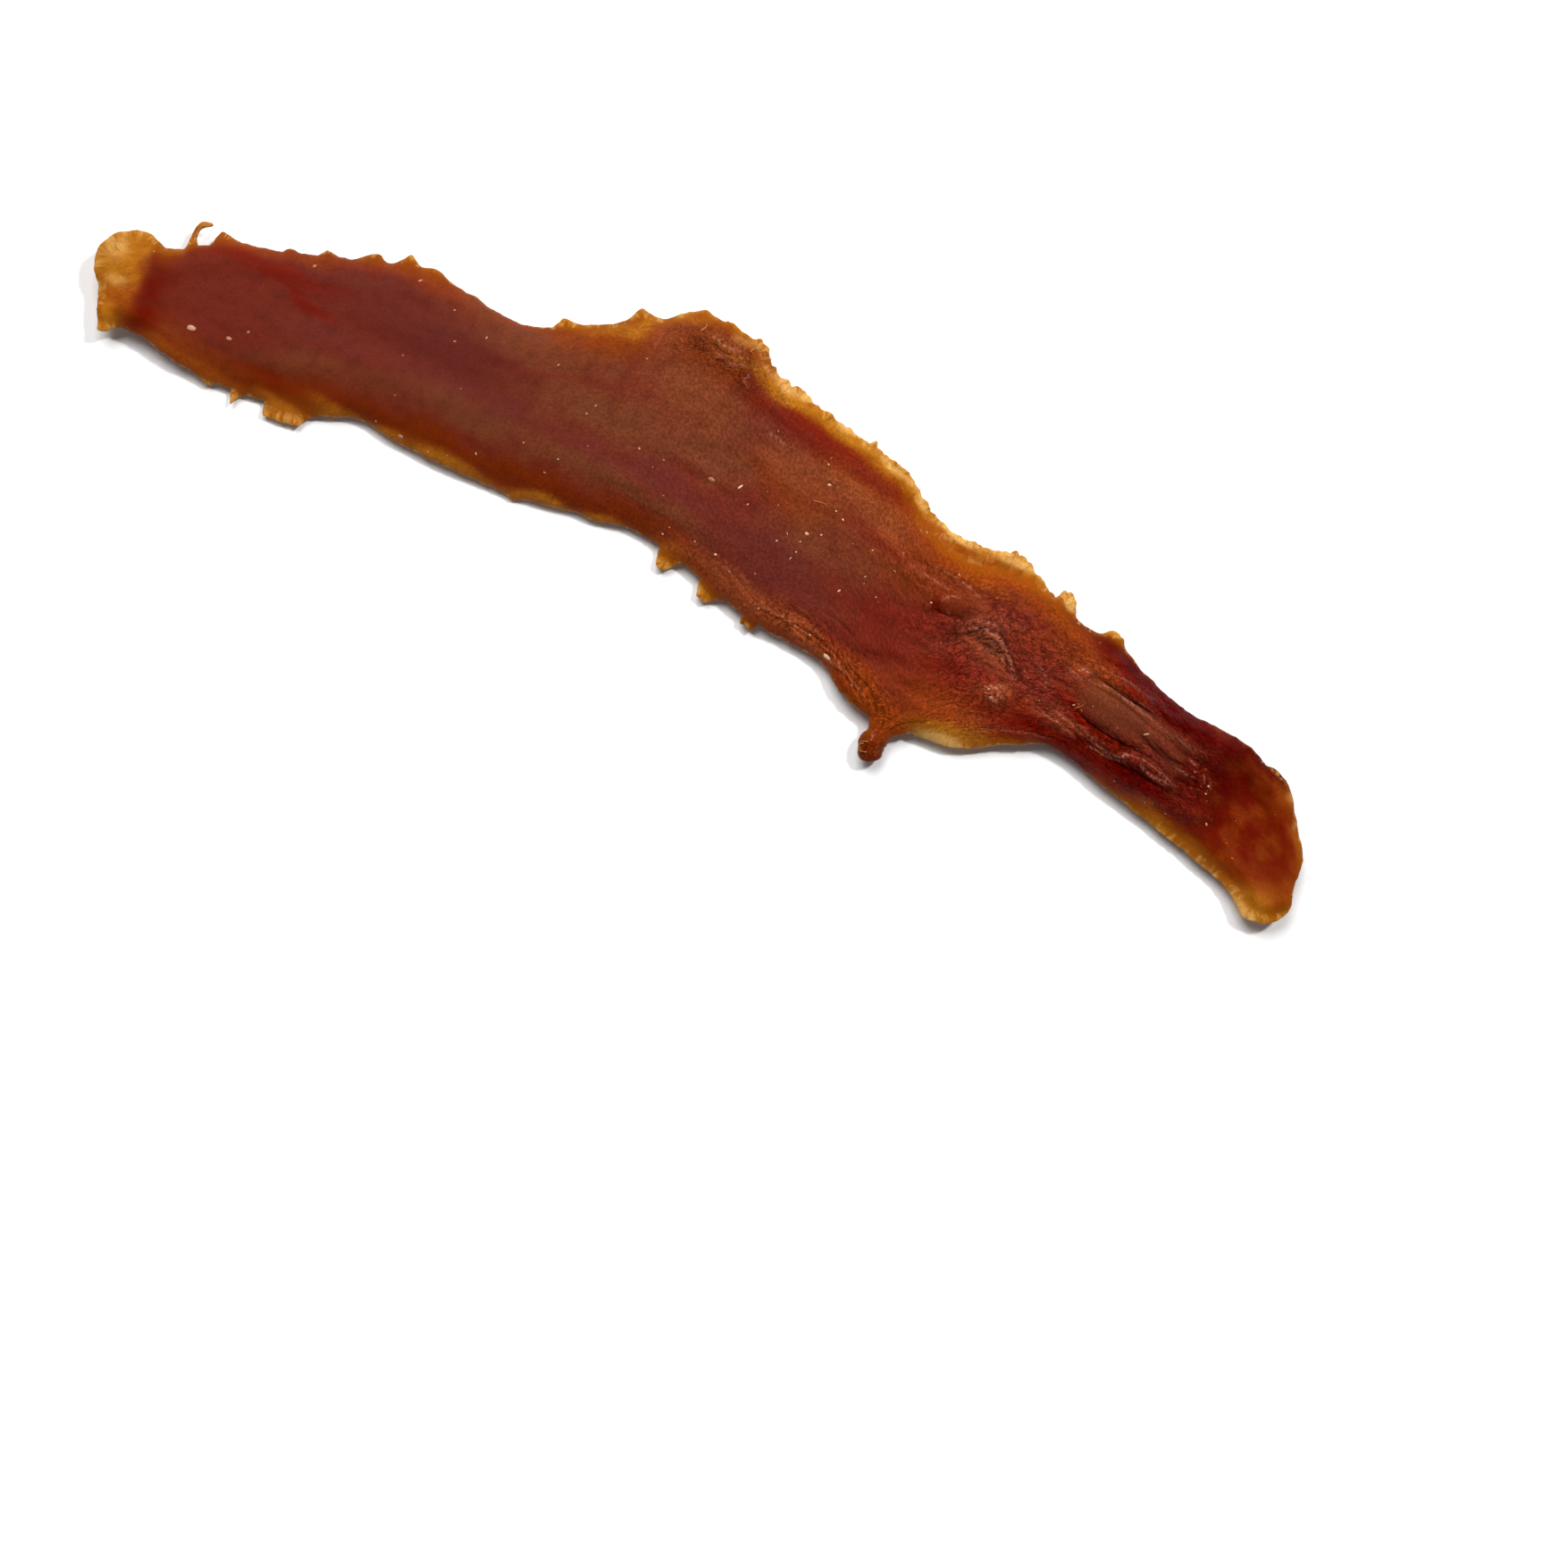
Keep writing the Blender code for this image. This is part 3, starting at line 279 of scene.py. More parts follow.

# Thin crests with a painted highlight along them, each as points along it, its strength and its half width.
GLEAMS = [
    ([(35.2, 7.3), (37.6, 7.4), (41.4, 6.8), (44.2, 6.2)], 0.5, 0.12),
    ([(39.8, 7.9), (42.6, 7.1)], 0.5, 0.1),
    ([(37, 3.1), (38.7, 2.5), (40.3, 2.4), (41.4, 2.9), (43.1, 3.1), (45, 2.7), (46.4, 2.3)], 0.9, 0.12),
    ([(37.6, 2.1), (39.8, 2), (41.4, 2.4)], 0.6, 0.12),
    ([(42.6, 2.7), (44.2, 2.25), (46.2, 2.4)], 0.8, 0.1),
    ([(31.7, 2.7), (34.2, 2.7), (36.4, 2.1)], 0.6, 0.14),
    ([(33.2, 3.6), (35.4, 3.2), (37.2, 3.4)], 0.5, 0.12),
    ([(23.4, 6.2), (24.6, 7), (26.2, 6.9), (27.6, 6.1), (28.7, 5), (29.3, 4)], 0.8, 0.16),
    ([(24.4, 6.4), (26, 6.3), (27.2, 5.5)], 0.5, 0.18), ([(25, 5.6), (26.6, 5.7)], 0.4, 0.2),
    ([(27.4, 2.6), (28, 2.9), (28.7, 2.5)], 1, 0.16), ([(27.8, 2), (28.5, 1.8), (29, 2.2)], 0.9, 0.14),
    ([(28.2, 3.4), (28.9, 3)], 0.7, 0.12), ([(45.6, 3.9), (47.6, 3.8)], 0.7, 0.12),
    ([(46.4, 5.2), (47.4, 4.9)], 0.6, 0.12), ([(48.2, 4.6), (48.6, 3.9)], 0.7, 0.1),
    ([(49, 4.3), (49.4, 3.7)], 0.6, 0.1), ([(44.6, 6.4), (46.2, 5.9)], 0.4, 0.12),
    ([(16.2, 9.2), (18.4, 9), (20.4, 8.8)], 0.5, 0.12),
    ([(18.2, 10.1), (21.4, 9.9), (23.4, 9.3)], 0.4, 0.12),
    ([(22.8, 7.3), (24.4, 7.6), (25.8, 7.8)], 0.6, 0.14),
    ([(20.2, 7.6), (20.8, 8.3), (21.6, 8.6)], 0.5, 0.12),
    ([(30.4, 6.6), (31.6, 5.8), (32.2, 4.8)], 0.4, 0.12), ([(33, 7.4), (34.6, 7)], 0.6, 0.14),
    ([(34, 8), (35.6, 7.9)], 0.5, 0.12), ([(36.4, 8.8), (39, 8.7), (41, 8.3)], 0.4, 0.1),
    ([(4.6, -0.3), (8.2, -0.2), (11.2, -0.6)], 0.5, 0.1),
    ([(7.4, 0.1), (10.8, 0.2), (13.6, -0.7)], 0.4, 0.1), ([(13, -1.5), (16, -2.2), (18.4, -3.4)], 0.5, 0.1),
    ([(28, -1.7), (31, 0.1), (34.6, 1.1)], 0.4, 0.1), ([(-8.8, 19.2), (-7.2, 19), (-6, 19.4)], 0.6, 0.14),
    ([(-7.6, 18), (-6.2, 17.8), (-5, 18.2)], 0.6, 0.12),
    ([(-4.2, 17.9), (-4.4, 17.1), (-3.8, 16.5)], 0.6, 0.12), ([(-3.4, 19), (-2.4, 18.6)], 0.7, 0.12),
    ([(20.3, -5.4), (20.3, -6.6)], 0.5, 0.12), ([(21.2, -6.6), (21.4, -7.4)], 0.5, 0.12),
    ([(-0.6, 13.9), (0.6, 13.8), (1.6, 13.5)], 0.5, 0.14),
]

# Folds across the thin edge, where two layers lie on each other: (x, y) at both ends and the half width.
FOLDS = [
    (-0.6, 17.6, -0.3, 18.9, 0.14), (3.6, 16.9, 3.8, 17.9, 0.12), (4.2, 16.8, 4.3, 17.7, 0.12),
    (8.5, 16, 8.6, 17.6, 0.14), (8.9, 16, 9.2, 17, 0.12), (13.5, 14.2, 13.7, 15, 0.12),
    (1.6, 17.2, 1.8, 18, 0.1), (6.2, 16.6, 6.4, 17.2, 0.1), (11.4, 15.3, 11.5, 16, 0.1),
    (24, 12.8, 24.3, 14.2, 0.14), (25.2, 12.6, 25.6, 14, 0.12), (22.6, 12.4, 23.2, 13.2, 0.12),
    (30.3, 11.6, 30.6, 12.8, 0.12), (34.8, 10.8, 35.2, 11.6, 0.12), (19.6, 12.4, 20.2, 13, 0.1),
    (56, -4.6, 56.4, -2.8, 0.16), (57.4, -4.8, 57.6, -3.2, 0.14), (54.6, -3.8, 55.2, -2.4, 0.14),
    (-59.6, 1, -58.2, 1.6, 0.2), (-59.8, 3, -58.4, 3, 0.18), (-40, -4.2, -39.6, -3, 0.14),
    (-38.6, -4.2, -38.2, -3, 0.12), (-41, -4, -40.8, -3.2, 0.1),
]

# Flecks of fat on the top: (x, y, half length, half width, turn in degrees, tint from 0, honey, to 1, white).
FLECKS = [
    (-50.5, -1.5, 0.62, 0.36, 15, 0.5), (-47.1, -0.8, 0.4, 0.24, 10, 0.25),
    (-45.8, 0.5, 0.22, 0.16, 60, 0.2), (-43.3, 8.5, 0.3, 0.18, 70, 0.15),
    (-34.3, 11.7, 0.34, 0.12, 70, 0.4), (-30.3, 10.7, 0.16, 0.1, 20, 0.3), (-29, 8.2, 0.22, 0.12, 30, 0.2),
    (-26.6, 9.8, 0.2, 0.1, 80, 0.4), (-19.8, 10.6, 0.2, 0.1, 75, 0.4), (-32.6, 5, 0.14, 0.1, 0, 0.1),
    (-31.6, 1.5, 0.14, 0.1, 0, 0.1), (-15.6, 7.9, 0.16, 0.09, 30, 0.5), (-15.2, 8.9, 0.14, 0.09, 60, 0.5),
    (-16, 3.1, 0.14, 0.1, 0, 0.6), (-10, 7.3, 0.17, 0.1, -40, 0.8), (-7.6, 7.4, 0.12, 0.08, 20, 0.5),
    (-3, 7.8, 0.5, 0.28, 5, 0.1), (-0.4, 8.4, 0.42, 0.13, 65, 1), (0.9, 7.3, 0.16, 0.1, 60, 0.8),
    (5.7, 13.8, 0.14, 0.1, 0, 0.8), (6.6, 12.2, 0.26, 0.17, 20, 0.7), (8.2, 10.4, 0.13, 0.1, 0, 0.9),
    (9.1, 10, 0.17, 0.12, -20, 1), (6.8, 7.4, 0.3, 0.2, 0, 0.7), (8, 7.9, 0.17, 0.11, 50, 0.8),
    (6.6, 6.5, 0.13, 0.09, 60, 0.8), (6.7, 5.5, 0.13, 0.09, 0, 0.9), (4.7, 5.6, 0.15, 0.11, 40, 0.8),
    (0.4, 2, 0.19, 0.14, 10, 1), (-1.8, 2.2, 0.12, 0.09, 0, 0.8), (-4.7, 1.5, 0.17, 0.11, 10, 1),
    (-4.4, 2.3, 0.1, 0.08, 0, 0.7), (11.7, 4.2, 0.24, 0.1, 60, 1), (12.7, 8.8, 0.13, 0.09, 0, 0.8),
    (13.2, 6.4, 0.14, 0.07, 70, 0.9), (13.4, -1.55, 0.62, 0.28, -8, 0.8), (11.2, -0.5, 0.13, 0.1, 0, 0.9),
    (6, -0.5, 0.13, 0.1, 0, 0.9), (19.5, 7, 0.17, 0.13, 30, 1), (20.6, 10.4, 0.13, 0.1, 0, 0.7),
    (16.3, 12.5, 0.13, 0.1, 0, 0.8), (41.9, 5.3, 0.42, 0.14, 45, 0.5), (49.1, 3.8, 0.2, 0.14, 0, 0.6),
    (49.2, 3.1, 0.16, 0.1, 0, 0.7), (50.5, 0.7, 0.28, 0.14, -30, 0.5), (-22.8, 0.2, 0.2, 0.1, -50, 0.6),
    (-32.2, -1.3, 0.13, 0.1, 0, 0.6), (-29.6, -1.5, 0.4, 0.26, 10, 0.2), (-26.8, -1.6, 0.2, 0.12, 10, 0.3),
    (-19.4, 3, 0.14, 0.1, 0, 0.5), (28.1, 1.9, 0.3, 0.16, 50, 0.4), (27.6, 2.5, 0.18, 0.1, 20, 0.6),
    (35, 4.7, 0.2, 0.1, 40, 0.6),
]
FLECK_RISE = 0.45  # height of a fleck as a share of its half width
FLECK_SINK = 0.25  # share of that height that is under the skin

# Loose fibres: each is (x, y, rise) points along it, then its thickness.
FIBRES = [
    ([(-1.6, 17.9, 0.1), (-1.4, 18.4, 0.4), (-1.1, 18.75, 0.5), (-0.7, 18.9, 0.4)], 0.07),
    ([(-0.9, 17.8, 0.1), (-0.7, 18.3, 0.35), (-0.8, 18.7, 0.5)], 0.06),
    ([(4, 17.2, 0.1), (4.1, 17.6, 0.3), (4.4, 17.9, 0.3)], 0.06),
    ([(8.3, 17, 0.1), (8.5, 17.5, 0.3), (8.4, 17.75, 0.4)], 0.06),
    ([(24, 13.9, 0.1), (24.2, 14.3, 0.3), (24.1, 14.6, 0.4)], 0.06),
    ([(19.9, -6.9, 0.3), (19.6, -7.2, 0.5), (19.75, -7.6, 0.4), (20.1, -7.7, 0.3)], 0.08),
    ([(20.2, -6.6, 0.5), (19.7, -6.8, 0.7), (19.5, -7.1, 0.5)], 0.07),
    ([(20.5, -7.5, 0.4), (20, -7.6, 0.6), (19.8, -7.3, 0.7)], 0.06),
    ([(-5.2, 19.6, 0.1), (-4.9, 20.1, 0.4), (-4.5, 20.3, 0.4)], 0.07),
    ([(-9.9, 19.2, 0.2), (-9.7, 19.7, 0.35), (-9.8, 20.1, 0.3)], 0.08),
    ([(6, 10.3, 0.05), (6.9, 10.5, 0.2), (7.6, 10.4, 0.05)], 0.05),
    ([(35.2, 4.5, 0.05), (35.6, 4.9, 0.2), (35.9, 5.4, 0.05)], 0.06),
]
FIBRE_LIFT = 0.5  # share of the rise that is kept, so that the fibres lie low

Colour = partial(FloatVectorProperty, subtype="COLOR")
Size = partial(FloatProperty, subtype="DISTANCE")
Power = partial(FloatProperty, subtype="POWER")


class StripColours(bpy.types.PropertyGroup):
    """The tints of the dried meat, from thin membrane to thick core, and of what lies on it."""

    pale: Colour(name="Pale Membrane", description="The thinnest fringe", default=(0.56, 0.265, 0.05))
    gold: Colour(name="Gold", description="The fringe and thin ends", default=(0.43, 0.152, 0.009))
    amber: Colour(name="Amber", description="Between the fringe and the meat", default=(0.29, 0.07, 0.0016))
    rust: Colour(name="Rust", description="Thin meat", default=(0.205, 0.0205, 0.003))
    maroon: Colour(name="Maroon", description="Thick meat", default=(0.148, 0.0185, 0.0095))
    # Partly a dull brown film, partly painted sheen
    film_and_painted_sheen: Colour(name="Brown Film and Painted Sheen", description="Dull brown film on the meat", default=(0.156, 0.039, 0.0145))
    plum: Colour(name="Plum", description="Purplish patches", default=(0.115, 0.019, 0.014))
    # Darker brown, painted shade on the lower side that turns away from the light
    shade: Colour(name="Lower Side", description="Brown near the thick edge", default=(0.158, 0.019, 0.0014))
    brown: Colour(name="Brown", description="Browned meat beside the edge", default=(0.22, 0.036, 0.003))
    red: Colour(name="Red", description="Red streaks", default=(0.162, 0.008, 0.003))
    orange: Colour(name="Orange", description="Thin meat with light in it", default=(0.33, 0.066, 0.005))
    cream: Colour(name="Cream", description="Pale streaks in the thinnest edge", default=(0.8, 0.44, 0.12))
    # Colour of the painted highlights on the crests of the wrinkles and along thin crests
    painted_highlight: Colour(name="Painted Highlight", description="Tops of the finest wrinkles", default=(0.62, 0.235, 0.145))
    glow: Colour(name="Glow", description="Red where light comes through", default=(0.26, 0.006, 0.0003))
    tan: Colour(name="Light Brown", description="Dry light brown film", default=(0.27, 0.062, 0.02))
    ember: Colour(name="Ember", description="Glowing red of the thin end", default=(0.13, 0.0042, 0.0002))
    # The dark red of the wrinkled end, also painted shade in a pocket and along the upper rim
    deep: Colour(name="Deep Red", description="The dark wrinkled end", default=(0.074, 0.0003, 0.0001))
    fat: Colour(name="White Fat", description="The whitest flecks", default=(0.74, 0.45, 0.28))
    honey: Colour(name="Honey Fat", description="The brownest flecks", default=(0.3, 0.1, 0.045))


class StripSurface(bpy.types.PropertyGroup):
    """The fine relief of the skin."""

    rounds: IntProperty(name="Smoothing", description="Rounds of smoothing", default=7, min=0, max=60)
    wrinkle: Size(name="Wrinkle Depth", description="Depth of the folds in wrinkled skin", default=0.00013)
    crumple: Size(name="Crumple Depth", description="Depth of the crumpled places", default=0.0003)
    grain: Size(name="Grain Depth", description="Depth of the fibres all over", default=0.00002)
    pleat: Size(name="Pleat Depth", description="Depth of the folds across the thin edge", default=0.00006)
    ragged: Size(name="Raggedness", description="How far the edge wanders", default=0.00008)
    crease: FloatProperty(name="Crease Share", description="How deep the fine creases are cut", default=0.6)
    pores: Size(name="Pore Depth", description="Depth of the finest grain, shaded only", default=0.00006)
    seed: IntProperty(name="Seed", description="Start of the wander of the patches", default=5, min=1)


class FleckSizes(bpy.types.PropertyGroup):
    """Flecks of fat and the scatter of fine specks."""

    spread: FloatProperty(name="Fleck Size", description="Size of the larger flecks", default=0.72)
    seed: IntProperty(name="Seed", description="Start of the random scatter", default=11)
    density: FloatProperty(name="Density", description="Specks for each square metre", default=90000)
    smallest: Size(name="Smallest", description="Least radius of a speck", default=0.00003)
    largest: Size(name="Largest", description="Greatest radius of a speck", default=0.00007)


class StageSettings(bpy.types.PropertyGroup):
    """Floor, lights and camera."""

    floor: Size(name="Floor", description="Side of the floor", default=4)
    floor_colour: Colour(name="Floor Colour", description="Pale floor", default=(0.97, 0.97, 0.97))
    sky: FloatProperty(name="Sky", description="Strength of the light half way up", default=4.4)
    horizon: FloatProperty(name="Horizon", description="Strength of the light from low down", default=1.2)
    overhead: FloatProperty(name="Overhead", description="Strength of the light from above", default=0.9)
    key: Power(name="Key Light", description="Power of the large softbox", default=7.6)
    glint: Power(name="Glint Light", description="Power of the small softbox", default=3)
    across: Size(name="View Width", description="Width that the camera sees", default=0.1404)
    lens: FloatProperty(name="Lens", description="Focal length in millimetres", default=100)
    roll: FloatProperty(
        name="Roll", description="Turn of the camera on its axis", default=math.radians(27.3), subtype="ANGLE"
    )


class JerkySettings(bpy.types.PropertyGroup):
    """All the settings of the strip."""

    colours: PointerProperty(type=StripColours, name="Colours", description="Tints of the meat")
    surface: PointerProperty(type=StripSurface, name="Surface", description="Relief of the skin")
    flecks: PointerProperty(type=FleckSizes, name="Flecks", description="Fat and fine specks")
    stage: PointerProperty(type=StageSettings, name="Stage", description="Floor, lights and camera")


def on_strip(x, y):
    """A place on the drawing, in the frame's metres."""
    return (x + DRAWING[0]) * MM, (y + DRAWING[1]) * MM


def on_drawing(at):
    """Points in the frame's metres, as their x and y on the drawing."""
    return at[:, 0] / MM - DRAWING[0], at[:, 1] / MM - DRAWING[1]


def eased(share):
    """A share from 0 to 1, eased at both ends."""
    share = np.clip(share, 0, 1)
    return share * share * (3 - 2 * share)


def new_object(name, data):
    """An object in the scene."""
    made = bpy.data.objects.new(name, data)
    bpy.context.scene.collection.objects.link(made)
    return made


def keep_values(mesh, name, values):
    """Stores a number or a vector for each vertex as an attribute that the materials and the trees read."""
    values = np.asarray(values, np.float32)
    kind, key = ("FLOAT_VECTOR", "vector") if values.ndim > 1 else ("FLOAT", "value")
    mesh.attributes.new(name, kind, "POINT").data.foreach_set(key, values.ravel())


# Shape of the strip


class Rim:
    """The strip's outline from above, in millimetres on the drawing, with its length and outward ways."""

    STEP = 0.1
    BESIDE = 5  # points to either side that give the outline's direction

    def __init__(self, bm):
        beside = {}
        for edge in bm.edges:
            if sum(face.normal.z > 0 for face in edge.link_faces) == 1:
                a, b = edge.verts
                beside.setdefault(a, []).append(b)
                beside.setdefault(b, []).append(a)
        walk = [min(beside, key=lambda vertex: vertex.co.x)]
        seen = set(walk)
        ahead = beside[walk[0]][:1]
        while ahead:
            walk.append(ahead[0])
            seen.add(ahead[0])
            ahead = [vertex for vertex in beside[walk[-1]] if vertex not in seen]
        corners = np.array([vertex.co[:2] for vertex in walk + walk[:1]]) / MM - DRAWING
        lengths = np.concatenate([[0], np.cumsum(np.linalg.norm(np.diff(corners, axis=0), axis=1))])
        self.length = lengths[-1]
        self.along = np.arange(0, self.length, self.STEP)
        self.points = np.column_stack([np.interp(self.along, lengths, corners[:, i]) for i in (0, 1)])
        tangent = np.roll(self.points, -self.BESIDE, axis=0) - np.roll(self.points, self.BESIDE, axis=0)
        tangent /= np.linalg.norm(tangent, axis=1)[:, None]
        x, y = self.points.T
        area = np.sum(x * np.roll(y, -1)) - np.sum(y * np.roll(x, -1))
        self.out = np.column_stack([tangent[:, 1], -tangent[:, 0]]) * np.sign(area)
        self.tree = kdtree.KDTree(len(self.points))
        for i, (x, y) in enumerate(self.points):
            self.tree.insert((x, y, 0), i)
        self.tree.balance()

    def nearest(self, x, y):
        """For each place: its nearest point of the outline, by number, and how far that is."""
        found = [self.tree.find((a, b, 0))[1:] for a, b in zip(x, y)]
        return np.array([number for number, far in found]), np.array([far for number, far in found])

    def wrapped(self, number, depth):
        """Coordinates on a cylinder as long round as the outline, so that a pattern on them has no seam."""
        turn = 2 * math.pi * self.along[number] / self.length
        radius = self.length / (2 * math.pi)
        return np.column_stack([radius * np.cos(turn), radius * np.sin(turn), depth])


class Skin:
    """The fine mesh of the strip while it is worked on, as arrays in metres."""

    SHRINK, GROW = 0.50, 0.53

    def __init__(self, mesh):
        self.mesh = mesh
        self.at = np.empty(len(mesh.vertices) * 3, np.float32)
        mesh.vertices.foreach_get("co", self.at)
        self.at = self.at.reshape(-1, 3).astype(float)
        self.edges = np.empty(len(mesh.edges) * 2, np.int32)
        mesh.edges.foreach_get("vertices", self.edges)
        self.edges = self.edges.reshape(-1, 2)
        self.links = np.bincount(self.edges.ravel(), minlength=len(self.at))

    def averaged(self, values):
        """The mean of each vertex's neighbours."""
        if values.ndim > 1:
            return np.column_stack([self.averaged(column) for column in values.T])
        a, b = self.edges.T
        count = len(values)
        return (np.bincount(a, values[b], count) + np.bincount(b, values[a], count)) / self.links

    def smooth(self, rounds):
        """Takes the facets out and keeps the volume: each round shrinks a little and then grows back."""
        for _ in range(rounds):
            self.at += self.SHRINK * (self.averaged(self.at) - self.at)
            self.at -= self.GROW * (self.averaged(self.at) - self.at)
        self.store()

    def store(self):
        """Writes the points back and returns each vertex's normal."""
        self.mesh.vertices.foreach_set("co", self.at.astype(np.float32).ravel())
        self.mesh.update()
        normals = np.empty(len(self.at) * 3, np.float32)
        self.mesh.vertex_normals.foreach_get("vector", normals)
        return normals.reshape(-1, 3).astype(float)


def patches(x, y, rows, wander=0.8):
    """How strongly a set of patches covers each place, in millimetres on the drawing. Their edges wander."""
    long, wide, layer = 3.5, 2.2, 8  # the wander's size each way, and its layer of the noise
    shift = np.array([noise.noise_vector((a / long, b / wide, layer))[:2] for a, b in zip(x, y)]) * wander
    x, y = x + shift[:, 0] * 2, y + shift[:, 1]
    cover = np.zeros(len(x))
    for at_x, at_y, half_length, half_width, turn, strength in rows:
        c, s = math.cos(math.radians(turn)), math.sin(math.radians(turn))
        u = ((x - at_x) * c + (y - at_y) * s) / half_length
        v = ((y - at_y) * c - (x - at_x) * s) / half_width
        cover = np.maximum(cover, strength * np.exp(-0.6 * (u * u + v * v) ** 1.5))
    return cover


def curve_through(points, step):
    """Places at even steps on a smooth curve through points."""
    points = np.array(points, float)
    ends = np.vstack([2 * points[0] - points[1], points, 2 * points[-1] - points[-2]])
    found = []
    for a, b, c, d in zip(ends, ends[1:], ends[2:], ends[3:]):
        for share in np.linspace(0, 1, max(2, int(np.linalg.norm(c - b) / step)), endpoint=False):
            bend = 2 * a - 5 * b + 4 * c - d
            turn = 3 * b - a - 3 * c + d
            found.append(b + 0.5 * share * (c - a + share * (bend + share * turn)))
    return np.array(found + [points[-1]])


def line_cover(x, y, rows, widen=1.0):
    """How strongly curves cover each place. Each is points along it, its strength and its half width."""
    cover = np.zeros(len(x))
    for points, strength, half_width in rows:
        width = half_width * widen
        line = curve_through(points, CREASE_STEP)
        low, high = line.min(axis=0) - 3 * width, line.max(axis=0) + 3 * width
        near = np.flatnonzero((x > low[0]) & (x < high[0]) & (y > low[1]) & (y < high[1]))
        for share, (on_x, on_y) in zip(np.linspace(0.03, 0.97, len(line)), line):
            far = ((x[near] - on_x) ** 2 + (y[near] - on_y) ** 2) / width**2
            here = strength * math.sqrt(math.sin(math.pi * share))
            cover[near] = np.maximum(cover[near], here * np.exp(-far))
    return cover


def fold_cover(x, y):
    """How strongly the folds across the thin edge cover each place."""
    cover = np.zeros(len(x))
    for start_x, start_y, end_x, end_y, half_width in FOLDS:
        for share in np.linspace(0, 1, 10):
            on_x, on_y = start_x + (end_x - start_x) * share, start_y + (end_y - start_y) * share
            cover = np.maximum(cover, np.exp(-((x - on_x) ** 2 + (y - on_y) ** 2) / half_width**2))
    return cover


def flow_of(x, y, rim):
    """Millimetres along and across the fibres. Across is measured between the strip's edges."""
    reach, usual_width, least_width = 2.5, 16, 4
    steps = np.arange(-64.0, 65.0, 1.0)
    upper, lower = np.empty(len(steps)), np.empty(len(steps))
    for i, step in enumerate(steps):
        far = np.abs(rim.points[:, 0] - step)
        near = rim.points[far < max(reach, far.min() + 1e-9)]
        upper[i], lower[i] = near[:, 1].max(), near[:, 1].min()
    kernel = np.hanning(9) / np.hanning(9).sum()
    padded = [np.pad(side, len(kernel) // 2, mode="edge") for side in (upper, lower)]
    upper, lower = (np.convolve(side, kernel, mode="valid") for side in padded)
    top, bottom = np.interp(x, steps, upper), np.interp(x, steps, lower)
    share = (y - bottom) / np.maximum(top - bottom, least_width)
    return np.column_stack([x, share * usual_width, np.zeros(len(x))])


def waves(places, sizes, layer):
    """Smooth noise between about -1 and 1, with a size for each of the two or three coordinates."""
    rows = places[:, : len(sizes)] / np.array(sizes)
    if len(sizes) == 2:
        return np.array([noise.noise((u, v, layer)) for u, v in rows])
    return np.array([noise.noise((u, v, w + layer)) for u, v, w in rows])


def ridges(places, sizes, layer):
    """Sharp ridges from 0 to 1 that wander."""
    rows = places[:, :2] / np.array(sizes)
    found = [noise.ridged_multi_fractal((u, v, layer), 0.9, 2.1, 3, 1.0, 2.0) for u, v in rows]
    return np.clip(np.array(found) / 2.2, 0, 1)


def strip_thickness(skin, normals):
    """How thick the strip is under or over each vertex, in millimetres."""
    start, steep = 0.02, 0.25
    faces = [face.vertices[:] for face in skin.mesh.polygons]
    tree = bvhtree.BVHTree.FromPolygons([Vector(p) for p in skin.at], faces)
    found = np.full(len(skin.at), np.nan)
    for i in np.flatnonzero(np.abs(normals[:, 2]) >= steep):
        way = Vector((0, 0, -1 if normals[i, 2] > 0 else 1))
        far = tree.ray_cast(Vector(skin.at[i]) + way * start * MM, way)[3]
        if far is not None:
            found[i] = far / MM + start
    known = ~np.isnan(found)
    nearest = kdtree.KDTree(int(known.sum()))
    for i in np.flatnonzero(known):
        nearest.insert(skin.at[i], i)
    nearest.balance()
    for i in np.flatnonzero(~known):
        found[i] = found[nearest.find(skin.at[i])[1]]
    for _ in range(3):
        found = 0.5 * (found + skin.averaged(found))
    return found


def cut_finer(bm, wanted):
    """Cuts each wanted face in four and keeps all faces triangles."""
    edges = sorted({edge for face in wanted for edge in face.edges}, key=lambda edge: edge.index)
    bmesh.ops.subdivide_edges(bm, edges=edges, cuts=1, use_grid_fill=True)
    bmesh.ops.triangulate(bm, faces=bm.faces)
    bm.edges.index_update()


def fine_skin(node, rounds, name):
    """A copy of a node's mesh, joined and cut finer: finer on top, and finest where it is wrinkled."""
    same_place, facing_up = 1e-7, -0.3
    bm = bmesh.new()
    bm.from_mesh(node.data)
    bmesh.ops.remove_doubles(bm, verts=bm.verts, dist=same_place)
    bm.normal_update()
    rim = Rim(bm)
    mesh = bpy.data.meshes.new(name)
    for stage in range(3):
        bm.normal_update()
        bm.edges.index_update()
        wanted = [face for face in bm.faces if stage == 0 or face.normal.z > facing_up]
        if stage == 2:
            middles = np.array([face.calc_center_median()[:2] for face in wanted]) / MM - DRAWING
            rough = patches(*middles.T, WRINKLED + CRUMPLED)
            wanted = [face for face, cover in zip(wanted, rough) if cover > ROUGHEST]
        cut_finer(bm, wanted)
        bm.to_mesh(mesh)
        Skin(mesh).smooth(rounds)
        bm.clear()
        bm.from_mesh(mesh)
    bm.free()
    return Skin(mesh), rim


